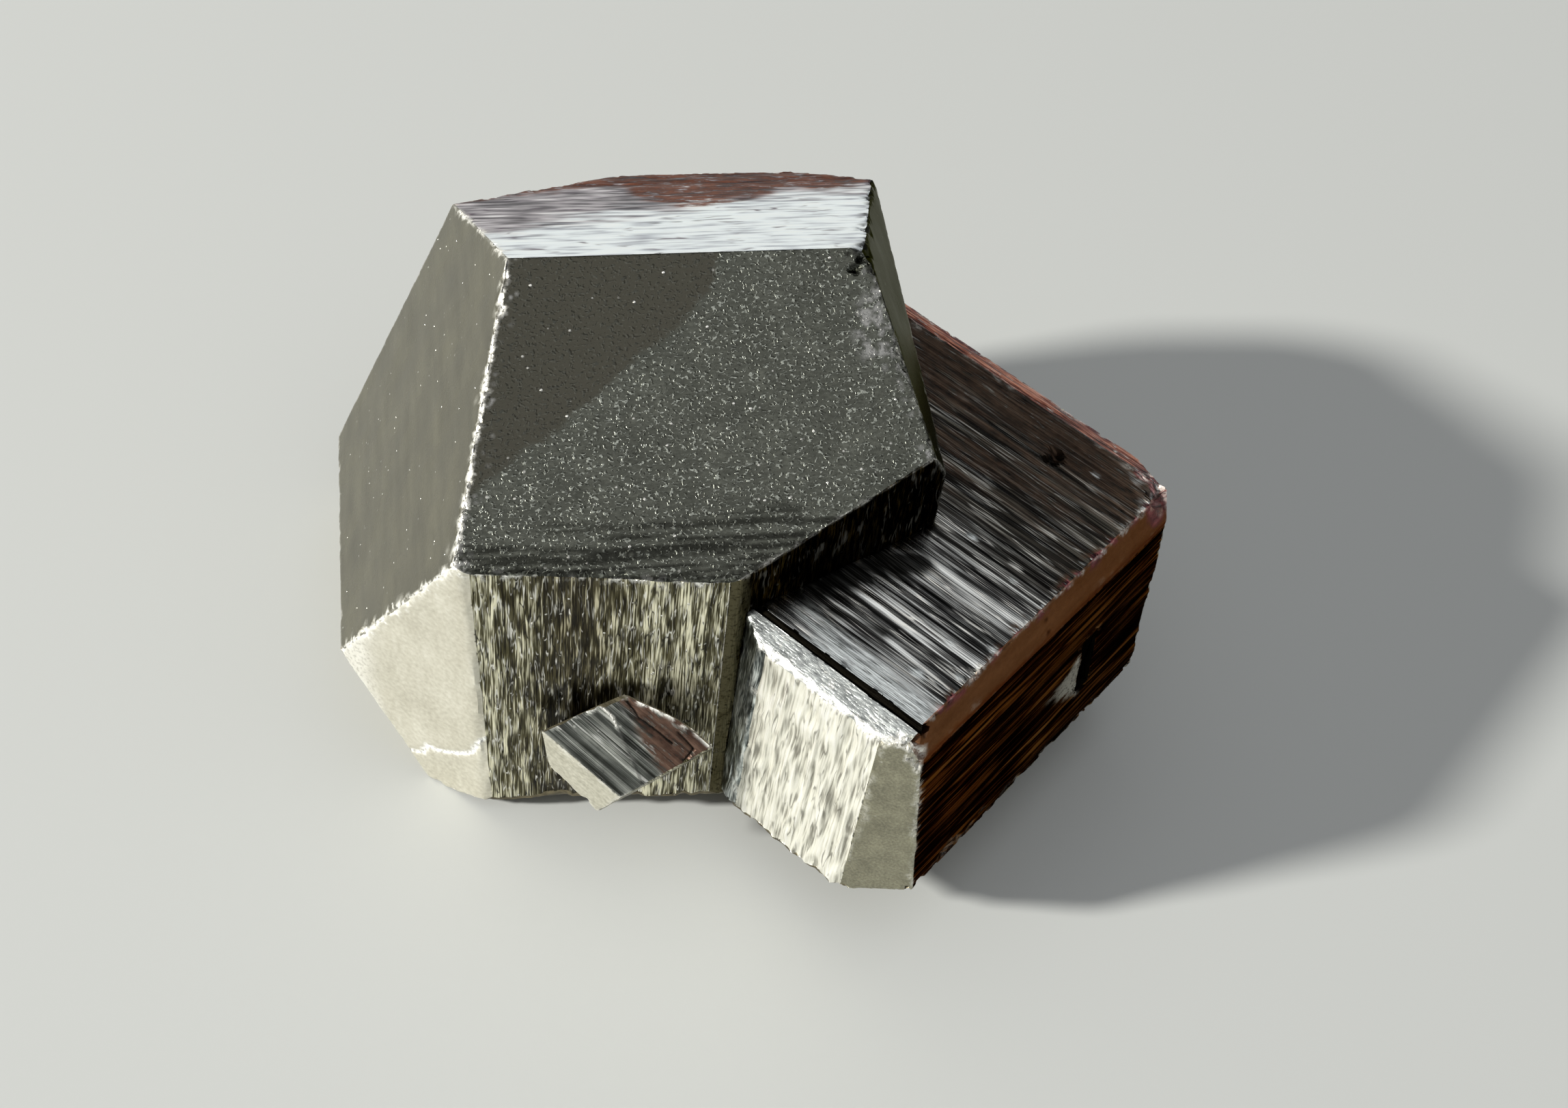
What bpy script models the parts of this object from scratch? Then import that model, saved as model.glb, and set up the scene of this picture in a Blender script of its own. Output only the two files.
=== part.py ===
"""Two intergrown pyrite crystals with a third, small one on the front, as one solid.

Each crystal is a block cut by the planes of its faces. A face is given by its
indices (h, k, l) in the crystal's own axes and by its distance from the
crystal's centre, so the cube faces are (1, 0, 0) and its kin, and the
pyritohedron faces are (1, 0, 2), (0, 2, 1), (2, 1, 0) and their kin.
Faces with odd indices are vicinal: growth has tilted them by a few degrees.
The block that results is trimmed flat underneath, where it rests.
"""

import bmesh
import bpy
from math import radians
from mathutils import Euler, Matrix, Vector

MM = 0.001

# ---------------------------------------------------------------- large crystal
LARGE_CENTRE = (0.0, 0.0, 11.9)  # mm, above the resting plane
LARGE_TURN = (3.8, -4.6, -70.3)  # degrees about X, Y, Z
LARGE_FACES = {
    "roof_front": ((1, 0, 2), 26.3),
    "roof_back": ((-1, 0, 2), 26.7),
    "roof_left": ((0, -2, 1), 25.55),
    "roof_right": ((0, 2, 1), 25.55),
    "cube_front": ((1, -0.08, 0), 22.8),
    "cube_back": ((-1, 0, 0), 22.1),
    "cube_right": ((0, 1, 0), 18.9),
    "front_right": ((2, 1, 0), 21.15),
    "front_left": ((1.42, -1, -0.035), 27.5),
    "back_left": ((-2, -1, 0), 21.2),
    "back_right": ((-2, 1, 0), 25.2),
    "under_left": ((0, -2, -1), 24.9),
    "under_front": ((1, 0, -2), 19.5),
    "under_back": ((-1, 0, -2), 20.4),
}

# ---------------------------------------------------------------- side crystal
SIDE_CENTRE = (19.55, -5.45, 14.2)
SIDE_TURN = (3.9, -1.3, -118.0)
SIDE_FACES = {
    "cube_top": ((0, 0, 1), 13.2),
    "cube_front": ((1, 0, 0), 19.0),
    "cube_back": ((-1, 0, 0), 18.95),
    "cube_right": ((0, 1, 0.12), 16.45),
    "buried_left": ((0, -1, 0), 25.0),
    "bevel_front": ((1, 0, 2), 19.25),
    "bevel_back": ((-1, 0, 2), 19.3),
    "bevel_right": ((0, 2, 1), 18.3),
    "front_right": ((2, 1, 0), 22.4),
    "front_left": ((2, -1, 0), 16.65),
    "back_right": ((-2, 1, 0), 21.2),
    "under_front": ((1, 0, -2), 16.9),
    "under_right": ((0, 1, -2), 13.45),
}

# ---------------------------------------------------------------- small crystal
SMALL_CENTRE = (2.1, -19.95, 10.8)
SMALL_TURN = (-32.7, 45.9, -131.2)
SMALL_FACES = {
    "cube_top": ((0, 0, 1), 6.6),
    "bevel": ((0.7, 0, 1), 7.6),
    "under": ((1, -0.12, -0.6), 3.4),
    "end_low": ((0.3, 1, 0.33), 5.78),
    "end_high": ((-0.2, -0.5, -1), -4.06),
    "side": ((-1, -0.18, -0.5), 0.25),
}

ROOT_SIZE = (5.0, 6.0, 6.0)  # mm, where the small crystal grows out of the large one
ROOT_AT = (1.7, -1.0, 2.5)  # mm, from the small crystal's centre

# ---------------------------------------------------------------- growth marks
GROOVE_SIDE = 0.75  # mm, side of the square cut on edge along the side crystal's top
GROOVE_AT = 16.6  # mm from the side crystal's centre, towards its front
GROOVE_SPAN = (-8.0, 14.2)  # mm along the side crystal's second axis
SLOT_SIZE = (1.5, 1.4, 6.2)  # mm, open slot in the side crystal's right face
SLOT_AT = (-6.4, 16.4, 1.7)

BLOCK = 120.0  # mm, the stock that every crystal is cut from


def linked(name, mesh, collection):
    obj = bpy.data.objects.new(name, mesh)
    collection.objects.link(obj)
    return obj


def placed(centre, turn):
    """The crystal's axes in the world."""
    return Matrix.Translation(Vector(centre) * MM) @ Euler(
        [radians(a) for a in turn], "XYZ"
    ).to_matrix().to_4x4()


def crystal(name, faces, collection):
    """A block cut down by the planes of the crystal's faces, about its centre."""
    bm = bmesh.new()
    bmesh.ops.create_cube(bm, size=BLOCK * MM)
    for indices, distance in faces.values():
        normal = Vector(indices).normalized()
        cut = bmesh.ops.bisect_plane(
            bm,
            geom=bm.verts[:] + bm.edges[:] + bm.faces[:],
            dist=1e-7,
            plane_co=normal * distance * MM,
            plane_no=normal,
            clear_outer=True,
        )
        rim = [e for e in cut["geom_cut"] if isinstance(e, bmesh.types.BMEdge)]
        bmesh.ops.contextual_create(bm, geom=rim)
    bmesh.ops.recalc_face_normals(bm, faces=bm.faces[:])
    mesh = bpy.data.meshes.new(name)
    bm.to_mesh(mesh)
    bm.free()
    return linked(name, mesh, collection)


def box(name, size, collection):
    bm = bmesh.new()
    bmesh.ops.create_cube(bm, size=1.0)
    bmesh.ops.scale(bm, vec=Vector(size) * MM, verts=bm.verts[:])
    mesh = bpy.data.meshes.new(name)
    bm.to_mesh(mesh)
    bm.free()
    return linked(name, mesh, collection)


def boolean(target, tool, operation):
    """The modifier that joins a tool to the target or cuts it away."""
    mod = target.modifiers.new(tool.name, "BOOLEAN")
    mod.operation = operation
    mod.solver = "EXACT"
    mod.object = tool
    tool.hide_render = True
    tool.display_type = "WIRE"
    return mod


def material():
    mat = bpy.data.materials.new("pyrite")
    mat.use_nodes = True
    shader = mat.node_tree.nodes["Principled BSDF"]
    shader.inputs["Base Color"].default_value = (0.46, 0.42, 0.31, 1.0)
    shader.inputs["Metallic"].default_value = 1.0
    shader.inputs["Roughness"].default_value = 0.34
    return mat


def main():
    for obj in list(bpy.data.objects):
        bpy.data.objects.remove(obj, do_unlink=True)
    parts = bpy.data.collections.new("pyrite specimen")
    cutters = bpy.data.collections.new("cutters")
    for group in (parts, cutters):
        bpy.context.scene.collection.children.link(group)

    large = crystal("large_crystal", LARGE_FACES, cutters)
    side = crystal("side_crystal", SIDE_FACES, cutters)
    small = crystal("small_crystal", SMALL_FACES, cutters)
    large.matrix_world = placed(LARGE_CENTRE, LARGE_TURN)
    side.matrix_world = placed(SIDE_CENTRE, SIDE_TURN)
    small.matrix_world = placed(SMALL_CENTRE, SMALL_TURN)

    root = box("small_root", ROOT_SIZE, cutters)
    inward = Vector(SMALL_FACES["end_high"][0]).to_track_quat("Z", "Y")
    root.matrix_world = (
        small.matrix_world
        @ Matrix.Translation(Vector(ROOT_AT) * MM)
        @ inward.to_matrix().to_4x4()
    )

    low, high = GROOVE_SPAN
    groove = box("groove", (GROOVE_SIDE, high - low, GROOVE_SIDE), cutters)
    groove.matrix_world = (
        side.matrix_world
        @ Matrix.Translation(
            Vector((GROOVE_AT, (low + high) / 2, SIDE_FACES["cube_top"][1])) * MM
        )
        @ Matrix.Rotation(radians(45.0), 4, "Y")
    )
    slot = box("slot", SLOT_SIZE, cutters)
    slot.matrix_world = side.matrix_world @ Matrix.Translation(Vector(SLOT_AT) * MM)
    ground = box("ground", (BLOCK * 2, BLOCK * 2, BLOCK), cutters)
    ground.matrix_world = Matrix.Translation((0.0, 0.0, -BLOCK / 2 * MM))

    boolean(side, groove, "DIFFERENCE")
    boolean(side, slot, "DIFFERENCE")
    boolean(small, root, "UNION")
    boolean(large, side, "UNION")
    boolean(large, small, "UNION")
    boolean(large, ground, "DIFFERENCE")
    large.hide_render = True
    large.display_type = "WIRE"

    # The joined solid, with its origin under the middle of its bounding box.
    bpy.context.view_layer.update()
    depsgraph = bpy.context.evaluated_depsgraph_get()
    mesh = bpy.data.meshes.new_from_object(large.evaluated_get(depsgraph))
    mesh.transform(large.matrix_world)
    bm = bmesh.new()
    bm.from_mesh(mesh)
    bmesh.ops.remove_doubles(bm, verts=bm.verts[:], dist=1e-6)
    bmesh.ops.dissolve_degenerate(bm, dist=1e-6, edges=bm.edges[:])
    bmesh.ops.recalc_face_normals(bm, faces=bm.faces[:])
    low = [min(v.co[i] for v in bm.verts) for i in range(3)]
    high = [max(v.co[i] for v in bm.verts) for i in range(3)]
    middle = Vector(((low[0] + high[0]) / 2, (low[1] + high[1]) / 2, low[2]))
    bmesh.ops.translate(bm, vec=-middle, verts=bm.verts[:])
    bm.to_mesh(mesh)
    bm.free()
    mesh.name = "pyrite_crystals"
    mesh.materials.clear()
    mesh.materials.append(material())
    linked("pyrite_crystals", mesh, parts)
    print("size mm", [round((h - l) / MM, 2) for l, h in zip(low, high)])
    print("shift mm", [round(c / MM, 3) for c in middle])


main()
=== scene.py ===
"""The looks of the pyrite specimen: its fine surface as mesh over the CAD faces, and its materials.

Every crystal face of the CAD solid is sampled along and across its own striations,
and the samples are moved onto a displaced surface: terraces, growth marks, worn and
chipped edges, cracks. Face names are the crystallographic ones of the CAD part.
"""

from math import cos, pi, radians, sin, tan

import bmesh
import bpy
import numpy as np
from mathutils import Euler, Matrix, Vector
from mathutils.geometry import delaunay_2d_cdt


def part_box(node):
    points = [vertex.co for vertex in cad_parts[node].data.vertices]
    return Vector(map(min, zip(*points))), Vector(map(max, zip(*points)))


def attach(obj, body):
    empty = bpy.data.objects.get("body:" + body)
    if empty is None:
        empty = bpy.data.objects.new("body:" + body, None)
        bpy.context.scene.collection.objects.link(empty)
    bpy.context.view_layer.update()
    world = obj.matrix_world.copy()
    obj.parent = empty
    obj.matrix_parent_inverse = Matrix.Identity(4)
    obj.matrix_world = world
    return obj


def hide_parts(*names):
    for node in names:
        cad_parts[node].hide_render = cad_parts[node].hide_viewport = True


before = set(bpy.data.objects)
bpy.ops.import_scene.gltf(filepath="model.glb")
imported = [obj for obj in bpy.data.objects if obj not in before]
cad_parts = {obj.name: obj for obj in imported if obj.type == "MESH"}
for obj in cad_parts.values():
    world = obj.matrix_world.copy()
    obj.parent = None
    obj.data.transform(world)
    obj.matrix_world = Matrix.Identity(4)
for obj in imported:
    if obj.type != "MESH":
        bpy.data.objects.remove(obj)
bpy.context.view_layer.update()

MM = 0.001
SHIFT = np.array([6.235, -1.225, 0.0])  # mm, from the crystals' own frame to the row's

# ------------------------------------------------------------------ crystals
# (h, k, l), distance in mm, striation axis
X, Y, Z = (1, 0, 0), (0, 1, 0), (0, 0, 1)
CRYSTALS = {
    "A": {
        "centre": (0.0, 0.0, 11.9),
        "turn": (3.8, -4.6, -70.3),
        "faces": {
            "top": ((1, 0, 2), 26.3, Y),
            "back": ((-1, 0, 2), 26.7, Y),
            "left": ((0, -2, 1), 25.55, X),
            "right": ((0, 2, 1), 25.55, X),
            "front": ((1, -0.08, 0), 22.8, Z),
            "cube_back": ((-1, 0, 0), 22.1, Z),
            "cube_right": ((0, 1, 0), 18.9, X),
            "strip": ((2, 1, 0), 21.15, Z),
            "fl": ((1.42, -1, -0.035), 27.5, Z),
            "back_left": ((-2, -1, 0), 21.2, Z),
            "back_right": ((-2, 1, 0), 25.2, Z),
            "under_left": ((0, -2, -1), 24.9, X),
            "under_front": ((1, 0, -2), 19.5, Y),
            "under_back": ((-1, 0, -2), 20.4, Y),
        },
    },
    "B": {
        "centre": (19.55, -5.45, 14.2),
        "turn": (3.9, -1.3, -118.0),
        "faces": {
            "top": ((0, 0, 1), 13.2, Y),
            "front": ((1, 0, 0), 19.0, Z),
            "cube_back": ((-1, 0, 0), 18.95, Z),
            "right": ((0, 1, 0.12), 16.45, X),
            "buried": ((0, -1, 0), 25.0, X),
            "bevel": ((1, 0, 2), 19.25, Y),
            "back": ((-1, 0, 2), 19.3, Y),
            "strip": ((0, 2, 1), 18.3, X),
            "fr": ((2, 1, 0), 22.4, Z),
            "narrow": ((2, -1, 0), 16.65, Z),
            "back_right": ((-2, 1, 0), 21.2, Z),
            "under_front": ((1, 0, -2), 16.9, Y),
            "under_right": ((0, 1, -2), 13.45, X),
        },
    },
    "C": {
        "centre": (2.1, -19.95, 10.8),
        "turn": (-32.7, 45.9, -131.2),
        "faces": {
            "top": ((0, 0, 1), 6.6, Y),
            "side": ((0.7, 0, 1), 7.6, Y),
            "under": ((1, -0.12, -0.6), 3.4, Y),
            "end": ((0.3, 1, 0.33), 5.78, Z),
            "behind": ((-0.2, -0.5, -1), -4.06, Y),
            "far": ((-1, -0.18, -0.5), 0.25, Y),
        },
    },
}


# ------------------------------------------------------------------ noise
def lattice(i, j, k, seed):
    """A repeatable number from 0 to 1 for each lattice point."""
    h = (
        i.astype(np.uint64) * np.uint64(374761393)
        + j.astype(np.uint64) * np.uint64(668265263)
        + k.astype(np.uint64) * np.uint64(2147483647)
        + np.uint64(seed) * np.uint64(1442695041)
    )
    h = (h ^ (h >> np.uint64(13))) * np.uint64(1274126177)
    h = (h ^ (h >> np.uint64(16))) * np.uint64(2246822519)
    h ^= h >> np.uint64(13)
    return (h & np.uint64(0xFFFFFF)).astype(float) / 0xFFFFFF


def noise2(x, y, seed):
    """Smooth noise from -1 to 1, with features about one unit across."""
    xi, yi = np.floor(x), np.floor(y)
    fx, fy = x - xi, y - yi
    fx, fy = fx * fx * (3 - 2 * fx), fy * fy * (3 - 2 * fy)
    i, j = (xi + 4096).astype(int), (yi + 4096).astype(int)
    k = np.zeros_like(i)
    a, b = lattice(i, j, k, seed), lattice(i + 1, j, k, seed)
    c, d = lattice(i, j + 1, k, seed), lattice(i + 1, j + 1, k, seed)
    return 2 * ((a + (b - a) * fx) * (1 - fy) + (c + (d - c) * fx) * fy) - 1


def noise3(p, scale, seed):
    """The same in space, for points in mm and features of that scale."""
    q = p / scale + 4096.0
    base = np.floor(q)
    f = q - base
    f = f * f * (3 - 2 * f)
    i, j, k = (base[..., a].astype(int) for a in range(3))
    total = 0.0
    for a in (0, 1):
        for b in (0, 1):
            for c in (0, 1):
                w = (
                    (f[..., 0] if a else 1 - f[..., 0])
                    * (f[..., 1] if b else 1 - f[..., 1])
                    * (f[..., 2] if c else 1 - f[..., 2])
                )
                total = total + w * lattice(i + a, j + b, k + c, seed)
    return 2 * total - 1


polylines = {}


def profile(seed, spacing):
    """A random polyline from -1 to 1 over one coordinate: flat strips with sharp breaks."""
    if (seed, spacing) not in polylines:
        r = np.random.default_rng(seed)
        knots = np.cumsum(spacing * r.gamma(2.2, 0.45, int(170 / spacing))) - 80.0
        polylines[seed, spacing] = knots, r.uniform(-1, 1, len(knots))
    knots, heights = polylines[seed, spacing]
    return lambda v: np.interp(v, knots, heights)


def smooth(lo, hi, x):
    t = np.clip((x - lo) / (hi - lo), 0, 1)
    return t * t * (3 - 2 * t)


# ------------------------------------------------------------------ faces
class Face:
    def __init__(self, crystal, name, spec, centre, turn):
        indices, distance, axis = spec
        self.crystal, self.name, self.key = crystal, name, crystal + "_" + name
        n = np.array(indices, float)
        self.n = turn @ (n / np.linalg.norm(n))
        self.centre = centre
        self.d = distance + self.n @ centre
        s = turn @ np.array(axis, float)
        s = s - (s @ self.n) * self.n
        self.s = s / np.linalg.norm(s)
        self.t = np.cross(self.n, self.s)

    def uv(self, p):
        q = p - self.centre
        return q @ self.s, q @ self.t


FACES = []
for crystal, c in CRYSTALS.items():
    turn = np.array(Euler([radians(a) for a in c["turn"]], "XYZ").to_matrix())
    centre = np.array(c["centre"]) - SHIFT
    for name, spec in c["faces"].items():
        FACES.append(Face(crystal, name, spec, centre, turn))
FACE = {f.key: f for f in FACES}

# Sample spacing in mm: along the striations, and across them
SPACING = {
    "A_top": (0.30, 0.25),
    "A_back": (0.70, 0.17),
    "A_left": (0.60, 0.55),
    "A_right": (0.50, 0.45),
    "A_front": (0.46, 0.125),
    "A_fl": (0.42, 0.36),
    "A_strip": (0.50, 0.30),
    "A_cube_back": (0.90, 0.28),
    "A_cube_right": (0.90, 0.26),
    "A_back_left": (0.80, 0.60),
    "A_back_right": (0.80, 0.60),
    "A_under_left": (0.90, 0.50),
    "A_under_front": (0.70, 0.40),
    "A_under_back": (0.90, 0.60),
    "B_top": (0.60, 0.14),
    "B_front": (0.34, 0.15),
    "B_fr": (0.32, 0.30),
    "B_right": (0.60, 0.16),
    "B_strip": (0.45, 0.30),
    "B_bevel": (0.30, 0.22),
    "B_back": (0.45, 0.18),
    "B_narrow": (0.35, 0.20),
    "B_cube_back": (0.90, 0.26),
    "B_back_right": (0.60, 0.50),
    "B_under_front": (0.60, 0.40),
    "B_under_right": (0.80, 0.40),
    "C_top": (0.30, 0.11),
    "C_side": (0.26, 0.24),
    "C_end": (0.40, 0.20),
    "C_under": (0.40, 0.30),
    "C_behind": (0.50, 0.40),
    "C_far": (0.40, 0.30),
    "base": (1.30, 1.30),
    "other": (0.30, 0.22),
}


# ------------------------------------------------------------------ heights
def ridges(u, v, seed, length, width):
    """Lens-shaped ridges, pointed at their ends, from 0 to 1."""
    n = noise2(u / length, v / width, seed)
    return (1.17 - np.sqrt(n * n + 0.03)) ** 2


def striated(u, v, seed, spacing, length, wander=0.12):
    """Flat strips along u that give way to others, from -1 to 1."""
    w = v + wander * noise2(u / (length * 0.6), v / (3 * spacing), seed)
    a, b = profile(seed + 1, spacing), profile(seed + 2, spacing)
    m = smooth(-0.3, 0.3, noise2(u / length, w / (2.5 * spacing), seed + 3))
    fine = profile(seed + 4, spacing * 0.4)
    return 0.75 * (a(w) * m + b(w) * (1 - m)) + 0.25 * fine(w)


def along(u, v, points):
    """Distance in mm from a polyline of (u, v) points."""
    best = np.full(np.shape(u), 1e9)
    for (a, b), (c, d) in zip(points, points[1:]):
        t = np.clip(
            ((u - a) * (c - a) + (v - b) * (d - b)) / ((c - a) ** 2 + (d - b) ** 2),
            0,
            1,
        )
        best = np.minimum(best, np.hypot(u - a - t * (c - a), v - b - t * (d - b)))
    return best


# Where the smoother growth layer of the large crystal's top ends: (u, v) in mm
TOP_LAYER = [
    (3.4, 17.0),
    (2.8, 14.5),
    (1.4, 10.7),
    (-1.4, 7.6),
    (-4.1, 6.0),
    (-7.4, 2.4),
    (-11.7, -0.6),
    (-15.8, -3.5),
    (-19.0, -6.0),
]


def top_layer(u, v):
    """1 on the smooth layer at the upper left, 0 on the rough one, in mm."""
    line = np.interp(
        u, [p[0] for p in TOP_LAYER[::-1]], [p[1] for p in TOP_LAYER[::-1]]
    )
    edge = v - line + 0.5 * noise2(u / 1.3, v / 1.3, 71)
    return np.where(u > 3.2, 0.0, smooth(-0.35, 0.35, edge))


def h_A_top(u, v):
    layer = top_layer(u, v)
    rough = 0.035 * noise2(u / 0.55, v / 0.55, 11) + 0.03 * noise2(u / 1.7, v / 1.7, 12)
    low = smooth(-6.3, -9.3, v + 0.4 * noise2(u / 3, v / 3, 13))
    return (
        -0.10
        + 0.03 * layer
        + rough * (1 - 0.75 * layer)
        + 0.05 * low * striated(u, v, 14, 0.5, 6.0)
    )


def h_A_back(u, v):
    rough = smooth(-6.0, 4.0, v + 2.5 * noise2(u / 9, v / 9, 21) - 0.25 * (u + 21))
    rough = np.maximum(rough, smooth(4.0, 9.0, v))
    return (
        -0.12
        + (0.035 + 0.05 * rough) * striated(u, v, 22, 0.55, 7.0)
        + 0.05 * rough * noise2(u / 1.1, v / 0.5, 23)
        + 0.05 * rough * (ridges(u, v, 24, 3.2, 0.9) - 0.5)
    )


def h_smooth(seed, amount):
    def h(u, v):
        return (
            -2 * amount
            + amount * noise2(u / 4.0, v / 4.0, seed)
            + 0.5 * amount * noise2(u / 1.3, v / 1.3, seed + 1)
        )

    return h


def h_A_front(u, v):
    flat = smooth(-1.2, -2.2, v)
    w = v + 0.16 * noise2(u / 3.0, v / 1.1, 31)
    deep = np.exp(-(((v - 8.3) / 2.9) ** 2))
    return (
        -0.46
        + (1 - 0.8 * flat) * 0.17 * striated(u, w, 32, 0.9, 7.0, 0.12)
        + (1 - 0.8 * flat) * 0.20 * (ridges(u, w, 36, 3.4, 1.0) - 0.5)
        + (1 - 0.8 * flat) * 0.08 * (ridges(u, w, 37, 2.4, 0.62) - 0.5)
        - 0.26 * deep
        + 0.08 * np.sin(v * 0.9 + 0.6)
    )


def h_A_fl(u, v):
    return (
        -0.06
        + 0.02 * striated(u, v, 41, 1.4, 12.0)
        + 0.02 * noise2(u / 1.1, v / 1.1, 45)
        - 0.09 * smooth(0.30, 0.05, along(u, v, FL_CRACK))
    )


FL_CRACK = [
    (-8.9, 9.9),
    (-8.0, 7.9),
    (-6.5, 7.4),
    (-6.6, 6.6),
    (-5.5, 4.4),
    (-4.3, 3.0),
    (-2.3, 2.3),
    (-1.6, 1.6),
]


def h_striated(seed, spacing, amount, length=8.0, lens=0.0):
    def h(u, v):
        out = -amount - 0.3 * lens + amount * striated(u, v, seed, spacing, length)
        if lens:
            out = out + lens * (ridges(u, v, seed + 6, 2.2, 0.5) - 0.5)
        return out

    return h


def h_B_top(u, v):
    return (
        -0.16
        + 0.10 * striated(u, v, 51, 1.0, 10.0, 0.10)
        + 0.05 * striated(u, v, 56, 0.42, 5.0, 0.06)
        - 0.6 * smooth(0.55, 0.25, along(u, v, [(5.1, 12.2), (5.5, 12.9), (5.0, 13.4)]))
    )


def h_B_front(u, v):
    w = v + 0.22 * noise2(u / 2.4, v / 1.5, 61)
    return (
        -0.34
        + 0.24 * (ridges(u, w, 62, 4.6, 1.05) - 0.5)
        + 0.20 * (ridges(u, w, 63, 3.0, 0.62) - 0.5)
        + 0.07 * striated(u, w, 64, 0.9, 5.0)
    )


def h_B_right(u, v):
    return (
        -0.20
        + 0.11 * striated(u, v, 81, 0.8, 9.0, 0.08)
        + 0.05 * striated(u, v, 86, 0.36, 5.0, 0.05)
    )


C_CRACKS = [
    [(-2.3, 2.8), (-0.4, 2.1), (1.3, 2.2), (3.0, 2.3)],
    [(2.8, 3.1), (4.5, 3.1), (4.6, 2.0)],
]
C_STEP = [(-3.2, 1.0), (-1.9, 0.9), (3.1, -1.6)]


def h_C_top(u, v):
    step = np.interp(u, *zip(*C_STEP))
    out = -0.14 + 0.05 * striated(u, v, 91, 0.7, 6.0, 0.05)
    out = out + 0.07 * smooth(0.10, -0.10, v - step)
    for crack in C_CRACKS:
        out = out - 0.12 * smooth(0.15, 0.04, along(u, v, crack))
    return out


HEIGHTS = {
    "A_top": h_A_top,
    "A_back": h_A_back,
    "A_left": h_smooth(101, 0.02),
    "A_right": h_smooth(103, 0.02),
    "A_front": h_A_front,
    "A_fl": h_A_fl,
    "A_strip": h_striated(111, 0.9, 0.04),
    "A_cube_back": h_striated(121, 0.9, 0.14, 9.0, 0.10),
    "A_cube_right": h_striated(131, 0.8, 0.12, 9.0),
    "A_back_left": h_smooth(141, 0.03),
    "A_back_right": h_smooth(143, 0.03),
    "A_under_left": h_smooth(145, 0.03),
    "A_under_front": h_striated(147, 0.7, 0.06),
    "A_under_back": h_smooth(149, 0.03),
    "B_top": h_B_top,
    "B_front": h_B_front,
    "B_fr": h_smooth(151, 0.03),
    "B_right": h_B_right,
    "B_strip": h_smooth(153, 0.02),
    "B_bevel": h_striated(161, 0.5, 0.04, 3.0),
    "B_back": h_striated(171, 0.5, 0.16, 5.0),
    "B_narrow": h_striated(181, 0.5, 0.10, 3.0, 0.1),
    "B_cube_back": h_striated(191, 0.9, 0.15, 9.0, 0.10),
    "B_back_right": h_smooth(201, 0.04),
    "B_under_front": h_striated(205, 0.7, 0.06),
    "B_under_right": h_striated(211, 0.8, 0.10),
    "C_top": h_C_top,
    "C_side": h_smooth(221, 0.02),
    "C_end": h_striated(225, 0.5, 0.06),
    "C_under": h_smooth(231, 0.02),
    "C_behind": h_smooth(233, 0.02),
    "C_far": h_smooth(235, 0.02),
    "base": h_smooth(241, 0.008),
    "other": h_smooth(243, 0.02),
}

# How worn each edge is: (least, chips), in mm, and how bright the wear is. The brightness is partly painted highlight:
# high on edges that catch the lamp, such as the rounded edge of the bevel, low on those in shade.
EDGE_DEFAULT = (0.05, 0.12, 0.5)
EDGES = {
    ("A_left", "A_top"): (0.10, 0.24, 1.0),
    ("A_fl", "A_left"): (0.10, 0.26, 1.0),
    ("A_back", "A_left"): (0.10, 0.26, 1.0),
    ("A_front", "A_top"): (0.05, 0.34, 0.95),
    ("A_back", "A_top"): (0.03, 0.07, 0.6),
    ("A_fl", "A_top"): (0.12, 0.30, 1.0),
    ("A_fl", "A_front"): (0.03, 0.10, 0.3),
    ("A_right", "A_top"): (0.06, 0.28, 0.2),
    ("A_strip", "A_top"): (0.05, 0.16, 0.4),
    ("A_front", "A_strip"): (0.08, 0.20, 0.2),
    ("A_back", "A_right"): (0.10, 0.40, 0.05),
    ("B_bevel", "B_front"): (0.24, 0.14, 1.0),
    ("B_bevel", "B_top"): (0.05, 0.12, 0.8),
    ("B_fr", "B_front"): (0.10, 0.12, 0.4),
    ("B_fr", "B_right"): (0.12, 0.28, 0.5),
    ("B_right", "B_under_right"): (0.20, 1.0, 0.1),
    ("B_front", "B_under_front"): (0.15, 0.50, 0.3),
    ("B_fr", "B_strip"): (0.30, 0.50, 0.9),
    ("B_bevel", "B_fr"): (0.30, 0.50, 1.0),
    ("B_front", "B_narrow"): (0.12, 0.15, 0.6),
    ("B_strip", "B_top"): (0.05, 0.25, 0.5),
    ("B_right", "B_strip"): (0.04, 0.10, 0.1),
    ("B_back", "B_top"): (0.05, 0.20, 0.3),
    ("C_side", "C_top"): (0.04, 0.06, 0.8),
    ("C_end", "C_top"): (0.05, 0.10, 0.9),
    ("C_far", "C_top"): (0.05, 0.12, 1.0),
    ("C_behind", "C_top"): (0.04, 0.10, 0.9),
}


def edge_wear(a, b):
    key = tuple(sorted((a, b)))
    if "base" in key:
        return (0.12, 0.25, 0.3)
    if key == ("B_top", "other"):
        return (0.03, 0.16, 0.4)
    if key == ("B_bevel", "other"):
        return (0.03, 0.10, 0.2)
    if "other" in key:
        return (0.03, 0.05, 0.0)
    if key not in EDGES and "A_back" in key:
        return (0.06, 0.40, 0.2)
    if key not in EDGES and "B_back" in key:
        return (0.10, 0.55, 0.5)
    return EDGES.get(key, EDGE_DEFAULT)


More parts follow.
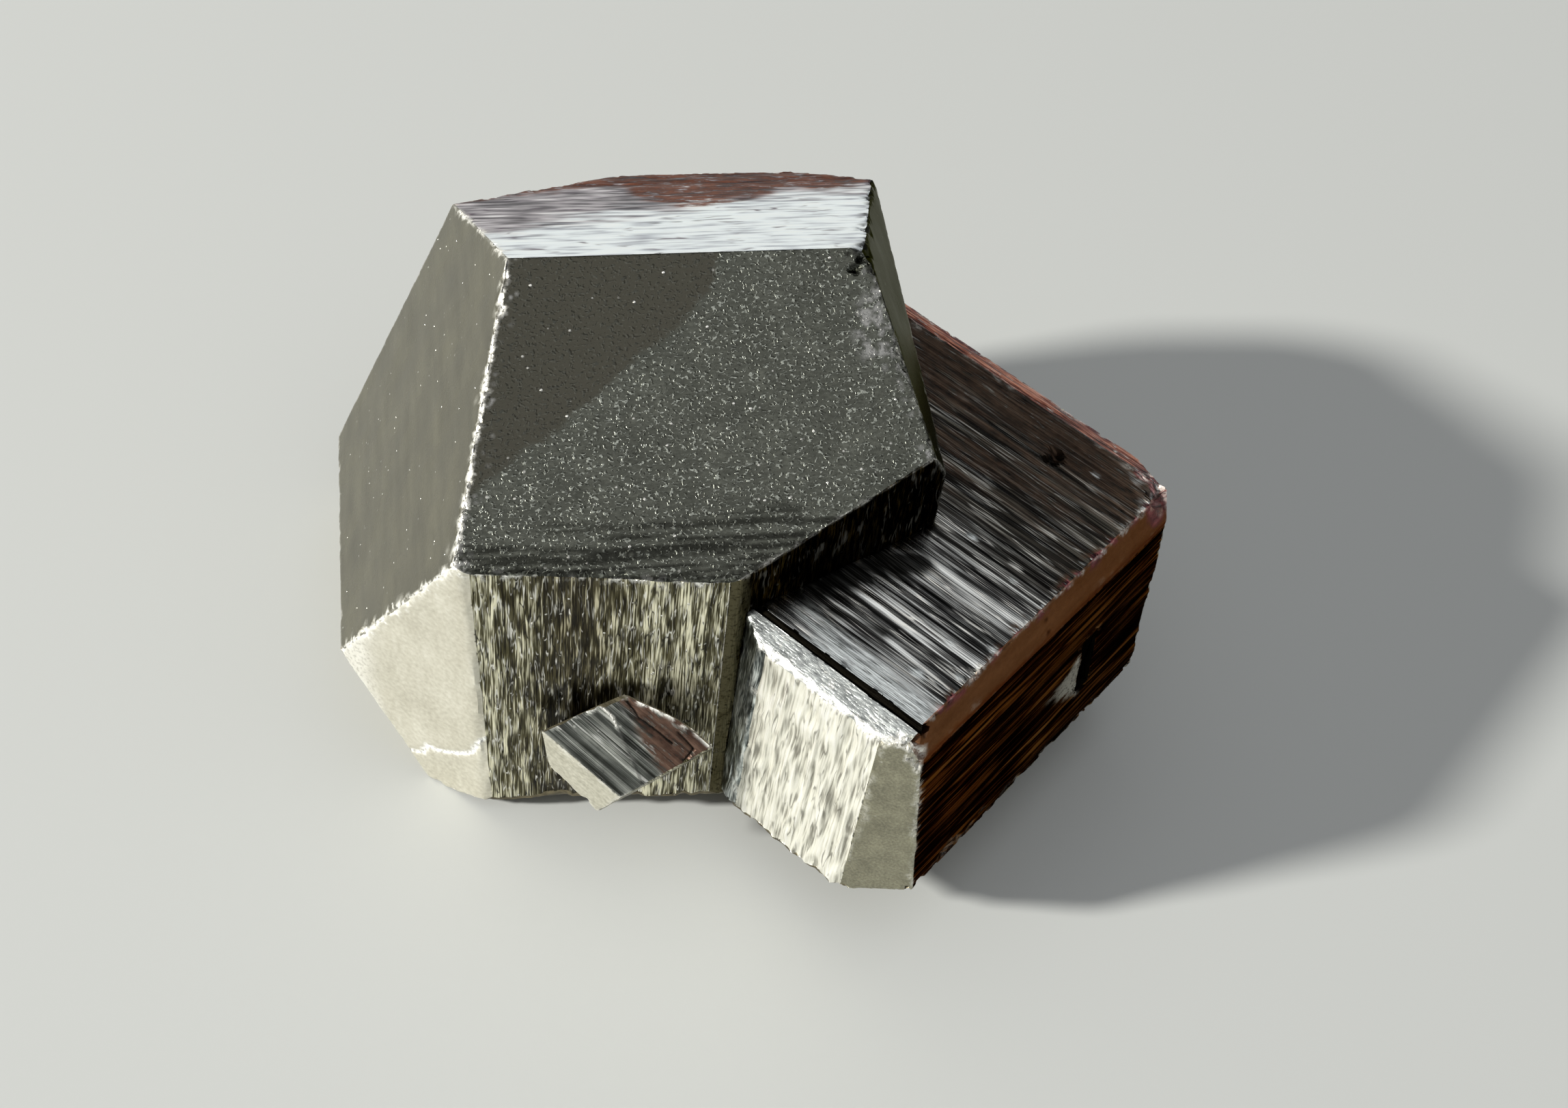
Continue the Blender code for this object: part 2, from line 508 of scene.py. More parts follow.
# ------------------------------------------------------------------ the CAD faces
def cad_regions(node):
    """The flat regions of a CAD mesh: welded points in mm, and for each region its plane, triangles and rim."""
    mesh = node.data
    co = np.array([v.co for v in mesh.vertices], float) / MM
    keys = {}
    weld = [keys.setdefault(tuple(np.round(c, 3)), len(keys)) for c in co]
    points = np.zeros((len(keys), 3))
    for i, w in enumerate(weld):
        points[w] = co[i]
    mesh.calc_loop_triangles()
    tris = [tuple(weld[i] for i in t.vertices) for t in mesh.loop_triangles]
    tris = [t for t in tris if len(set(t)) == 3]
    normals = []
    for a, b, c in tris:
        n = np.cross(points[b] - points[a], points[c] - points[a])
        normals.append(n / max(np.linalg.norm(n), 1e-12))
    at_edge = {}
    for i, t in enumerate(tris):
        for a, b in zip(t, t[1:] + t[:1]):
            at_edge.setdefault((min(a, b), max(a, b)), []).append(i)
    region = [-1] * len(tris)
    # Large triangles first: their normals are the exact ones
    size = [
        np.linalg.norm(np.cross(points[b] - points[a], points[c] - points[a]))
        for a, b, c in tris
    ]
    count = 0
    for start in sorted(range(len(tris)), key=lambda i: -size[i]):
        if region[start] >= 0:
            continue
        region[start] = count
        n, d = normals[start], normals[start] @ points[tris[start][0]]
        stack = [start]
        while stack:
            i = stack.pop()
            t = tris[i]
            for a, b in zip(t, t[1:] + t[:1]):
                for j in at_edge[(min(a, b), max(a, b))]:
                    if region[j] < 0 and all(
                        abs(n @ points[k] - d) < 0.004 for k in tris[j]
                    ):
                        region[j] = count
                        stack.append(j)
        count += 1
    out = []
    for r in range(count):
        mine = [i for i in range(len(tris)) if region[i] == r]
        big = max(mine, key=lambda i: size[i])
        rim = []
        for i in mine:
            t = tris[i]
            for a, b in zip(t, t[1:] + t[:1]):
                if any(
                    region[j] != r for j in at_edge[(min(a, b), max(a, b))] if j != i
                ):
                    rim.append((a, b))
        out.append(
            {
                "n": normals[big],
                "d": normals[big] @ points[tris[big][0]],
                "rim": rim,
                "area": sum(size[i] for i in mine) / 2,
            }
        )
    return points, out


class Plain:
    """A flat region that isn't a crystal face: the base, the groove, the slot, the small crystal's root."""

    def __init__(self, region, points, key):
        self.key, self.n, self.d = key, region["n"], region["d"]
        a, b = max(region["rim"], key=lambda e: np.linalg.norm(points[e[1]] - points[e[0]]))
        s = points[b] - points[a]
        s = s - (s @ self.n) * self.n
        self.s = s / np.linalg.norm(s)
        self.t = np.cross(self.n, self.s)
        self.centre = points[a]

    def uv(self, p):
        q = p - self.centre
        return q @ self.s, q @ self.t


points, regions = cad_regions(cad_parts["pyrite_crystals"])
for r in regions:
    found = [
        f for f in FACES if f.n @ r["n"] > 0.9999 and abs(f.d - r["d"]) < 0.05
    ]
    if found:
        r["face"] = found[0]
    elif r["n"][2] < -0.999:
        r["face"] = Plain(r, points, "base")
    else:
        r["face"] = Plain(r, points, "other")
    r["key"] = r["face"].key

# Every edge between two regions
rim_regions = {}
for i, r in enumerate(regions):
    for a, b in r["rim"]:
        rim_regions.setdefault((min(a, b), max(a, b)), []).append((i, (a, b)))
cad_edges = []
for (a, b), sides in rim_regions.items():
    (i, along_i), (j, _) = sides
    ni, nj = regions[i]["face"].n, regions[j]["face"].n
    direction = points[along_i[1]] - points[along_i[0]]
    direction = direction / np.linalg.norm(direction)
    # Anticlockwise round region i, so the outside of its rim is direction x normal
    convex = nj @ np.cross(direction, ni) > 0
    m = ni + nj if convex else -(ni + nj)
    m = m / np.linalg.norm(m)
    cad_edges.append(
        {
            "ends": (a, b),
            "sides": (i, j),
            "convex": bool(convex),
            "m": m,
            "p": points[a],
            "q": points[b],
            "wear": edge_wear(regions[i]["key"], regions[j]["key"]),
            "reach": 0.8
            if "other" in (regions[i]["key"], regions[j]["key"])
            else 1.7,
        }
    )
    cad_edges[-1]["id"] = len(cad_edges) - 1


def segment_distance(p, a, b):
    t = np.clip(((p - a) @ (b - a)) / ((b - a) @ (b - a)), 0, 1)
    return np.linalg.norm(p - a - t[..., None] * (b - a), axis=-1)


def wear_depth(p, wear, seed):
    """How far an edge is worn back at p, in mm."""
    least, chips, _ = wear
    n = 0.6 * noise3(p, 0.75, seed) + 0.4 * noise3(p, 0.28, seed + 1)
    big = smooth(0.35, 0.8, noise3(p, 2.6, seed + 2))
    return least + chips * (np.clip(0.25 + n, 0, 1) ** 1.3 + 0.9 * big * (0.6 + n))


# Chips at corners between these faces: (least, chips), in mm, and how bright, partly as painted highlight
CORNER_CHIPS = {
    ("A_back", "A_right", "A_top"): (0.65, 0.90, 0.0),
    ("B_back", "B_strip", "B_top"): (0.70, 1.1, 0.1),
    ("B_bevel", "B_fr", "B_strip"): (0.40, 0.60, 0.8),
    ("C_end", "C_far", "C_top"): (0.25, 0.30, 0.9),
}


def height_of(face, p):
    u, v = face.uv(p)
    return HEIGHTS[face.key](u, v)


def settle(p, face, direction, edges, rounds=7):
    """Moves points p along direction onto the displaced, worn surface of face and of the edges near them.
    Returns the points, and how much each is worn edge, weighted by how bright that edge's wear is, partly painted
    highlight."""
    near = [(e, segment_distance(p, e["p"], e["q"]) < e["reach"]) for e in edges]
    near = [
        (e, m, wear_depth(p[m], e["wear"], 300 + e["id"] % 7))
        for e, m in near
        if m.any()
    ]
    t = np.zeros(len(p))
    worn = np.zeros(len(p))
    for _ in range(rounds):
        q = p + t[:, None] * direction
        value = q @ face.n - face.d - height_of(face, q)
        slope = direction @ face.n
        edge_value = np.full(len(p), -9.0)
        edge_slope = np.ones(len(p))
        bright = np.zeros(len(p))
        for e, m, wear in near:
            qm = q[m]
            for side in e["sides"]:
                other = regions[side]["face"]
                if other is face:
                    continue
                f = qm @ other.n - other.d - height_of(other, qm)
                s = direction[m] @ other.n
                better = (f > value[m]) & (s > 0.15)
                idx = np.nonzero(m)[0][better]
                value[idx], slope[idx] = f[better], s[better]
            g = (qm - e["p"]) @ e["m"] + wear
            better = g > edge_value[m]
            idx = np.nonzero(m)[0][better]
            edge_value[idx] = g[better]
            edge_slope[idx] = (direction[m] @ e["m"])[better]
            bright[idx] = e["wear"][2]
        on_edge = edge_value > value
        total = np.where(on_edge, edge_value, value)
        step = total / np.maximum(np.where(on_edge, edge_slope, slope), 0.3)
        t = np.clip(t - np.clip(step, -0.5, 0.5), -1.6, 0.05)
        worn = smooth(-0.10, 0.02, edge_value - value) * bright
    return p + t[:, None] * direction, worn


# ------------------------------------------------------------------ the fine mesh
HIDDEN = {
    "A_cube_back",
    "A_cube_right",
    "A_back_left",
    "A_back_right",
    "A_under_left",
    "A_under_front",
    "A_under_back",
    "B_cube_back",
    "B_back_right",
    "B_under_front",
    "B_under_right",
    "base",
}
FINE, COARSE = ((0.17, 0.45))

verts = [p for p in points]
edge_chain = {}
for e in cad_edges:
    a, b = e["ends"]
    keys = [regions[s]["key"] for s in e["sides"]]
    e["fine"] = not all(k in HIDDEN for k in keys)
    n = max(1, round(np.linalg.norm(e["q"] - e["p"]) / (FINE if e["fine"] else COARSE)))
    first = len(verts)
    verts.extend(e["p"] + (e["q"] - e["p"]) * i / n for i in range(1, n))
    e["chain"] = [a, *range(first, first + n - 1), b]
    edge_chain[a, b] = e["chain"]
n_rim = len(verts)

at_vertex = {}
for e in cad_edges:
    for k in e["ends"]:
        at_vertex.setdefault(k, []).append(e)


def outward(k):
    """The direction out of a corner, equally steep to all its faces."""
    sides = sorted({side for e in at_vertex[k] for side in e["sides"]})
    n = np.array([regions[side]["face"].n for side in sides])
    d = np.linalg.pinv(n, rcond=0.05) @ np.ones(len(sides))
    return d / np.linalg.norm(d)


for k in range(len(points)):
    keys = {regions[side]["key"] for e in at_vertex[k] for side in e["sides"]}
    for corner_keys, wear in CORNER_CHIPS.items():
        if set(corner_keys) <= keys and all(e["convex"] for e in at_vertex[k]):
            at_vertex[k].append(
                {
                    "id": 1000 + k,
                    "ends": (k, k),
                    "sides": (),
                    "convex": True,
                    "m": outward(k),
                    "p": points[k],
                    "q": points[k] + 0.01,
                    "wear": wear,
                    "reach": 2.4,
                }
            )


def inside(u, v, segs):
    """Crossing test of points against the rim segments."""
    hit = np.zeros(len(u), int)
    for (au, av), (bu, bv) in segs:
        if av == bv:
            continue
        crosses = (av > v) != (bv > v)
        at = au + (v - av) / (bv - av) * (bu - au)
        hit += crosses & (u < at)
    return hit % 2 == 1


def rim_distance(u, v, segs):
    best = np.full(len(u), 1e9)
    for (au, av), (bu, bv) in segs:
        du, dv = bu - au, bv - av
        t = np.clip(((u - au) * du + (v - av) * dv) / (du * du + dv * dv), 0, 1)
        best = np.minimum(best, np.hypot(u - au - t * du, v - av - t * dv))
    return best


FINE_LINES = {"A_fl": [FL_CRACK], "C_top": [*C_CRACKS, C_STEP]}
triangles, triangle_region = [], []
region_vertices = []
for ri, r in enumerate(regions):
    f = r["face"]
    du, dv = SPACING[r["key"]]
    segs = []
    constraint = []
    for a, b in r["rim"]:
        chain = edge_chain[min(a, b), max(a, b)]
        if a > b:
            chain = chain[::-1]
        constraint.extend(zip(chain, chain[1:]))
        segs.append((f.uv(points[a]), f.uv(points[b])))
    rim_ids = sorted({i for c in constraint for i in c})
    rim_uv = np.array([f.uv(verts[i]) for i in rim_ids])
    rand = np.random.default_rng(1000 + ri)

    # Samples on a jittered grid along the striations
    lo, hi = rim_uv.min(0), rim_uv.max(0)
    gu = np.arange(lo[0], hi[0] + du, du)
    gv = np.arange(lo[1], hi[1] + dv, dv)
    uu, vv = np.meshgrid(gu, gv, indexing="ij")
    vv = vv + 0.0
    uu = uu + (np.arange(len(gv)) % 2)[None, :] * du * 0.5
    uu = (uu + rand.uniform(-0.22, 0.22, uu.shape) * du).ravel()
    vv = (vv + rand.uniform(-0.12, 0.12, vv.shape) * (dv if dv > 0.2 else 0.0)).ravel()

    # and rows close to the rim
    ru, rv = [], []
    step = 0.22
    for (au, av), (bu, bv) in segs:
        length = np.hypot(bu - au, bv - av)
        n = int(length / (step if r["key"] not in HIDDEN else 0.5))
        if n < 2:
            continue
        tu, tv = (bu - au) / length, (bv - av) / length
        for k, off in enumerate((0.15, 0.36)):
            s = (np.arange(n) + 0.5 + 0.25 * (k % 2)) / n * length
            ru.append(au + tu * s - tv * off)
            rv.append(av + tv * s + tu * off)
    if ru:
        ru, rv = np.concatenate(ru), np.concatenate(rv)
        ok = rim_distance(ru, rv, segs) > 0.13
        ru, rv = ru[ok], rv[ok]
        uu, vv = np.concatenate([ru, uu]), np.concatenate([rv, vv])
    for crack in FINE_LINES.get(r["key"], []):
        cu, cv = [], []
        for (a, b), (c, e) in zip(crack, crack[1:]):
            length = np.hypot(c - a, e - b)
            k = np.arange(0, length, 0.13) / length
            for off in (0.0, -0.13, 0.13):
                cu.append(a + (c - a) * k - off * (e - b) / length)
                cv.append(b + (e - b) * k + off * (c - a) / length)
        uu, vv = np.concatenate([*cu, uu]), np.concatenate([*cv, vv])
    ok = inside(uu, vv, segs)
    uu, vv = uu[ok], vv[ok]
    ok = rim_distance(uu, vv, segs) > 0.11
    uu, vv = uu[ok], vv[ok]
    cells, keep = set(), []
    size = 0.09
    for i, c in enumerate(zip((uu // size).astype(int), (vv // size).astype(int))):
        if c not in cells:
            cells.add(c)
            keep.append(i)
    uu, vv = uu[keep], vv[keep]

    local = {g: i for i, g in enumerate(rim_ids)}
    flat = [Vector((a / du, b / dv)) for a, b in rim_uv]
    flat += [Vector((a / du, b / dv)) for a, b in zip(uu, vv)]
    out = delaunay_2d_cdt(
        flat, [(local[a], local[b]) for a, b in constraint], [], 0, 1e-7
    )
    if len(out[0]) != len(flat):
        print("note: region", r["key"], "gave", len(out[0]), "for", len(flat))
    source = [o[0] if o else -1 for o in out[3]]
    first = len(verts)
    ids = list(rim_ids) + list(range(first, first + len(uu)))
    base = f.centre + (f.d - f.n @ f.centre) * f.n
    for a, b in zip(uu, vv):
        verts.append(base + a * f.s + b * f.t)
    region_vertices.append((ri, first, len(verts)))
    cu = np.array([np.mean([out[0][i][0] for i in t]) * du for t in out[2]])
    cv = np.array([np.mean([out[0][i][1] for i in t]) * dv for t in out[2]])
    good = inside(cu, cv, segs)
    for t, g in zip(out[2], good):
        if not g:
            continue
        ids3 = [ids[source[i]] for i in t]
        p0, p1, p2 = (out[0][i] for i in t)
        if (p1 - p0).cross(p2 - p0) < 0:
            ids3.reverse()
        triangles.append(ids3)
        triangle_region.append(ri)

flat_position = np.array(verts)
position = flat_position.copy()
worn = np.zeros(len(position))

# ---- vertices on the CAD edges
rim_sides = {}
for e in cad_edges:
    for i in e["chain"]:
        rim_sides.setdefault(i, []).append(e)


def seam(p, edges):
    """Where several displaced planes meet, for points on a concave edge."""
    sides = sorted({side for e in edges for side in e["sides"]})
    n = np.array([regions[side]["face"].n for side in sides])
    h = np.array([height_of(regions[side]["face"], p) for side in sides])
    delta = (np.linalg.pinv(n, rcond=0.25) @ h).T
    out = sum(e["m"] for e in edges if not e["convex"])
    out = out / np.linalg.norm(out)
    depth = 0.12 + 0.10 * noise3(p, 1.1, 401)
    return p + delta + depth[:, None] * out


def rounded_corner(k):
    return all(e["convex"] for e in at_vertex[k])


for e in cad_edges:
    mid = e["chain"][1:-1]
    if not mid:
        continue
    p = flat_position[mid]
    if e["convex"]:
        nearby = {e["id"]: e}
        for k in e["ends"]:
            if rounded_corner(k):
                nearby.update({x["id"]: x for x in at_vertex[k]})
        d = np.repeat(e["m"][None], len(p), 0)
        position[mid], worn[mid] = settle(
            p, regions[e["sides"][0]]["face"], d, list(nearby.values())
        )
    else:
        position[mid] = seam(p, [e])
for k in range(len(points)):
    mine = at_vertex[k]
    if rounded_corner(k):
        sides = sorted({s for e in mine for s in e["sides"]})
        d = outward(k)[None]
        q, w = settle(flat_position[k][None], regions[sides[0]]["face"], d, mine)
        position[k], worn[k] = q[0], w[0]
    else:
        position[k] = seam(flat_position[k][None], mine)[0]

# ---- vertices inside the faces
for ri, first, last in region_vertices:
    f = regions[ri]["face"]
    p = flat_position[first:last]
    if not len(p):
        continue
    ends = {k for edge in regions[ri]["rim"] for k in edge}
    local_edges = {
        e["id"]: e
        for k in ends
        for e in at_vertex[k]
        if ri in e["sides"] or rounded_corner(k)
    }.values()
    convex = [e for e in local_edges if e["convex"]]
    concave = [e for e in local_edges if not e["convex"]]
    near = np.zeros(len(p), bool)
    d = np.repeat(f.n[None], len(p), 0)
    for e in convex:
        dist = segment_distance(p, e["p"], e["q"])
        near |= dist < e["reach"]
        if ri in e["sides"]:
            d = d + smooth(0.7 * e["reach"], 0.0, dist)[:, None] * e["m"] * 1.4
    for k in ends:
        if rounded_corner(k):
            dist = np.linalg.norm(p - points[k], axis=1)
            d = d + smooth(1.3, 0.0, dist)[:, None] * outward(k) * 3.0
    d /= np.linalg.norm(d, axis=1)[:, None]
    new = p + height_of(f, p)[:, None] * f.n
    if near.any():
        new[near], worn[first:last][near] = settle(p[near], f, d[near], convex)
    if concave:
        dist = np.min([segment_distance(p, e["p"], e["q"]) for e in concave], axis=0)
        ids = sorted({i for e in concave for i in e["chain"]})
        anchor, moved = flat_position[ids], position[ids] - flat_position[ids]
        moved = moved - (moved @ f.n)[:, None] * f.n
        for i in np.nonzero(dist < 1.0)[0]:
            j = np.argmin(((anchor - p[i]) ** 2).sum(1))
            new[i] += moved[j] * smooth(1.0, 0.05, dist[i])
    position[first:last] = new

# ---- the groove closes up a little, unevenly
f = FACE["B_top"]
crystal_b = sorted(
    {
        i
        for tri, ri in zip(triangles, triangle_region)
        if regions[ri]["key"] in ("B_top", "B_bevel", "other")
        for i in tri
    }
)
gu, gv = f.uv(flat_position[crystal_b])
deep = flat_position[crystal_b] @ f.n - f.d
across = gv + 16.6
close = 0.42 + 0.16 * noise2(gu / 2.5, gu * 0, 641) + 0.14 * smooth(6.0, 0.0, gu)
close = close * (np.abs(across) < 1.6) * (deep > -1.5) * (gu > -2.6) * (gu < 15.5)
shift = -across * close * np.exp(-((across / 0.7) ** 2)) * smooth(-1.5, -0.5, deep)
position[crystal_b] += shift[:, None] * f.t

# ---- the small crystal's far edge bows outwards
f = FACE["C_top"]
start, end = (
    f.centre + (f.d - f.n @ f.centre) * f.n + a * f.s + b * f.t
    for a, b in ((-2.77, 3.03), (5.51, 4.56))
)
span = end - start
bow_out = np.cross(span, f.n)
bow_out /= np.linalg.norm(bow_out)
if bow_out @ f.t < 0:
    bow_out = -bow_out
small = sorted(
    {
        i
        for tri, ri in zip(triangles, triangle_region)
        if regions[ri]["key"] in ("C_top", "C_far", "C_end", "C_behind")
        for i in tri
    }
)
q = flat_position[small]
share = (q - start) @ span / (span @ span)
away = segment_distance(q, start, end)
bow = 0.5 * np.sin(np.pi * np.clip(share, 0, 1) ** 1.3) * smooth(2.6, 0.2, away)
position[small] += bow[:, None] * bow_out

print("vertices", len(position), "triangles", len(triangles))


# ------------------------------------------------------------------ the object
low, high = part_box("pyrite_crystals")
low, high = np.array(low) / MM, np.array(high) / MM
position = np.clip(position, low, high)

# Two faces sometimes each have the same sliver on the edge between them: neither is needed
times = {}
for tri in triangles:
    times[tuple(sorted(tri))] = times.get(tuple(sorted(tri)), 0) + 1
kept = [i for i, tri in enumerate(triangles) if times[tuple(sorted(tri))] == 1]
triangles = [triangles[i] for i in kept]
triangle_region = [triangle_region[i] for i in kept]

mesh = bpy.data.meshes.new("pyrite_surface")
mesh.from_pydata((position * MM).tolist(), [], triangles)
assert not mesh.validate(), "the mesh was changed"
specimen = bpy.data.objects.new("pyrite_surface", mesh)
bpy.context.scene.collection.objects.link(specimen)

tri_region = np.array(triangle_region)
corner = np.array(triangles)
face_mm = np.zeros((len(triangles), 3, 2))
for ri, r in enumerate(regions):
    m = tri_region == ri
    if m.any():
        u, v = r["face"].uv(position[corner[m]].reshape(-1, 3))
        face_mm[m] = np.stack([u, v], -1).reshape(-1, 3, 2)
layer = mesh.uv_layers.new(name="face_mm")
layer.data.foreach_set("uv", face_mm.ravel())
attribute = mesh.attributes.new("worn", "FLOAT", "POINT")
attribute.data.foreach_set("value", worn.astype(np.float32))


def mask(name, values):
    a = mesh.attributes.new(name, "FLOAT", "POINT")
    a.data.foreach_set("value", np.asarray(values, np.float32))


def region_mask(key, function):
    """A value for the vertices of one face, from (u, v) in mm."""
    out = np.zeros(len(position))
    ids = np.unique(corner[[i for i, r in enumerate(triangle_region) if regions[r]["key"] == key]])
    u, v = FACE[key].uv(flat_position[ids])
    out[ids] = function(u, v)
    return out


def line(pairs):
    """A boundary v = f(u) through points, in mm."""
    x, y = zip(*pairs)
    return lambda u: np.interp(u, x, y)


# Painted light and shade of the striations: crests lighter, hollows darker, and the flanks on the lamp's side lighter.
def relief_shade_of(key):
    def value(u, v):
        h = HEIGHTS[key](u, v)
        slope = HEIGHTS[key](u, v + 0.06) - HEIGHTS[key](u, v - 0.06)
        h = (h - h.mean()) / max(h.std(), 1e-6)
        slope = slope / max(slope.std(), 1e-6)
        # This side is chosen to agree with the lamp.
        sign = 1.0 if FACE[key].t[0] + FACE[key].t[1] > 0 else -1.0
        return np.clip(0.5 + 0.16 * h + 0.16 * sign * slope, 0, 1)

    return value


relief_shade = np.full(len(position), 0.0)
for key in (
    "A_front A_back A_cube_back A_cube_right B_top B_front B_right B_back B_narrow "
    "B_cube_back B_under_right B_bevel C_top C_end A_top A_strip A_under_front B_under_front"
).split():
    relief_shade = np.maximum(relief_shade, region_mask(key, relief_shade_of(key)))
mask("relief_shade", relief_shade)
mask("layer", region_mask("A_top", top_layer))

RUST_EDGE = line(
    [(-21, 1.4), (-15.7, 4.7), (-9.4, 6.4), (-3.2, 8.0), (-2.2, 3.6), (0, 1.3)]
    + [(1.8, 0.5), (4, 1.3), (5.9, 2.6), (11.3, 5.6), (18.1, 6.9), (20, 7.0)]
)
STREAK_EDGE = line([(-21, -9), (-14, -7.0), (-8, -3), (0, -0.5), (8, 2.5), (19, 3.8)])
SMALL_RUST = line([(-6, 3.0), (-2.8, 2.4), (-1.2, 2.1), (-0.1, 1.4), (2.6, 0.3), (6, -0.8)])


def beside(pair, reach, size, share, keys):
    """Flecks along the edge between two faces, on the faces named."""
    best = np.full(len(position), 9.0)
    for e in cad_edges:
        if tuple(sorted(regions[side]["key"] for side in e["sides"])) in (pair if isinstance(pair, set) else {pair}):
            best = np.minimum(best, segment_distance(flat_position, e["p"], e["q"]))
    on = np.zeros(len(position), bool)
    for ri, r in enumerate(regions):
        if r["key"] in keys:
            on[np.unique(corner[tri_region == ri])] = True
    near = smooth(reach, 0.2 * reach, best + 0.5 * reach * noise3(flat_position, 1.6, 611))
    fleck = smooth(share, share + 0.25, noise3(flat_position, size, 612))
    return on * near * fleck


def far_pairs(key, *near_keys):
    """The pairs of faces that meet in an edge of this face, without those with the near faces."""
    pairs = {tuple(sorted(regions[side]["key"] for side in e["sides"])) for e in cad_edges}
    return {pair for pair in pairs if key in pair and not set(near_keys) & set(pair)}


def around(corner_keys, reach, size, share, keys):
    """Flecks round a corner between these faces, on the faces named."""
    k = next(
        k
        for k in range(len(points))
        if set(corner_keys) <= {regions[side]["key"] for e in at_vertex[k] for side in e["sides"]}
    )
    on = np.zeros(len(position), bool)
    for ri, r in enumerate(regions):
        if r["key"] in keys:
            on[np.unique(corner[tri_region == ri])] = True
    dist = np.linalg.norm(flat_position - points[k], axis=1)
    near = smooth(reach, 0.2 * reach, dist + 0.4 * reach * noise3(flat_position, 1.2, 621))
    return on * near * smooth(share, share + 0.25, noise3(flat_position, size, 622))


def back_rust(u, v):
    n = noise2(u / 2.6, v / 0.9, 501) + 0.7 * noise2(u / 0.9, v / 0.4, 502)
    return smooth(-1.0, 0.9, v - RUST_EDGE(u) + 1.1 * n)


def back_darker_zone(u, v):
    n = noise2(u / 3.5, v / 0.8, 503) + 0.7 * noise2(u / 1.6, v / 0.35, 504)
    return smooth(-1.5, 2.8, v - STREAK_EDGE(u) + 2.3 * n)


def top_rust(u, v):
    n = noise2(u / 6.0, v / 0.8, 511) + 0.6 * noise2(u / 3.0, v / 0.35, 512)
    return smooth(0.25, 1.2, (v - 3.0) / 9.0 + 0.55 * n) * 0.9


def top_darker_zone(u, v):
    n = noise2(u / 5.0, v / 0.9, 513)
    return smooth(-4.0, 6.0, v + 2.0 * n)


def small_rust(u, v):
    n = noise2(u / 2.0, v / 0.5, 521) + 0.5 * noise2(u / 0.8, v / 0.25, 522)
    return smooth(-0.35, 0.35, v - SMALL_RUST(u) + 0.35 * n)


def spots(places, wobble=0.5):
    """Ragged spots: (u, v, radius)."""

    def value(u, v):
        out = np.zeros(np.shape(u))
        n = noise2(u / 0.45, v / 0.45, 551)
        for a, b, radius in places:
            out = np.maximum(out, smooth(0.12, -0.12, np.hypot(u - a, v - b) - radius * (1 + wobble * n)))
        return out

    return value


def patch(u, v):
    """The pale broken patch beside the slot."""
    a, b, c = np.array([-0.6, 0.7]), np.array([-5.2, -1.1]), np.array([-6.3, 4.4])
    inside_by = []
    for p, q in ((a, b), (b, c), (c, a)):
        d = (q - p) / np.linalg.norm(q - p)
        inside_by.append((u - p[0]) * d[1] - (v - p[1]) * d[0])
    inside_by = np.array(inside_by)
    sign = np.sign(inside_by[:, np.argmin(np.hypot(u + 4.0, v - 1.3))].sum())
    a = (sign * inside_by).min(0)
    return smooth(-0.25, 0.35, a + 0.45 * noise2(u / 0.5, v / 0.5, 531)) * smooth(0.5, -4.0, u)


def top_sparkle(u, v):
    """Where the large crystal's top is broken into facets beside its right edge, lightened as painted glints."""
    a = 2.0 - np.hypot((u - 14.2) * 0.9, (v - 6.8) * 0.6)
    b = 0.75 - np.abs(u - np.interp(v, [-3, 6, 13], [17.0, 15.2, 13.6]))
    n = noise2(u / 0.55, v / 0.55, 561) + 0.6 * noise2(u / 0.3, v / 0.3, 562)
    return smooth(-0.3, 0.8, np.maximum(a, b)) * smooth(0.05, 0.5, n)


def top_lines(u, v):
    """Dark fine lines near the lower edge of the large crystal's top."""
    n = noise2(u / 5.0, v / 0.22, 571) + 0.5 * noise2(u / 2.0, v / 0.14, 572)
    return smooth(0.0, 0.7, n + 0.5 * smooth(-6.0, -10.5, v)) * smooth(-5.5, -8.5, v + 0.5 * noise2(u / 3, v, 573))


def groove_glitter(u, v):
    """A painted band of glitter on the right crystal's top beside the groove."""
    n = noise2(u / 4.0, v / 0.4, 581) + 0.6 * noise2(u / 1.2, v / 0.25, 582)
    band = smooth(0.0, 1.6, (-13.2 - v) + 1.0 * n) * smooth(-1.0, 1.5, u)
    dark = smooth(4.5, 1.5, u + 0.8 * n) * smooth(-14.6, -15.4, v)
    return 0.92 * band * (1 - dark)


def top_shadow(u, v):
    """Painted shadow on the right crystal's top where it meets the large crystal, and a black streak near it."""
    n = noise2(u / 2.5, v / 0.6, 591)
    black_and_shade = 1.5 - along(u, v, [(0.3, -11.5), (1.6, -7.5), (3.6, -4.4)]) + 0.8 * n
    streak = 0.55 - along(u, v, [(2.0, -12.6), (6.5, -11.6)]) + 0.3 * n
    return smooth(-0.3, 0.6, np.maximum(black_and_shade, streak))


STRIP_CRACK = [(0.8, -4.7), (0.9, -3.9), (0.8, -2.9)]


def strip_cracks(u, v):
    return smooth(0.16, 0.04, along(u, v, STRIP_CRACK) + 0.08 * noise2(u / 0.3, v / 0.3, 596))


def small_black(u, v):
    return np.max([smooth(0.15, 0.04, along(u, v, crack)) for crack in C_CRACKS], axis=0)


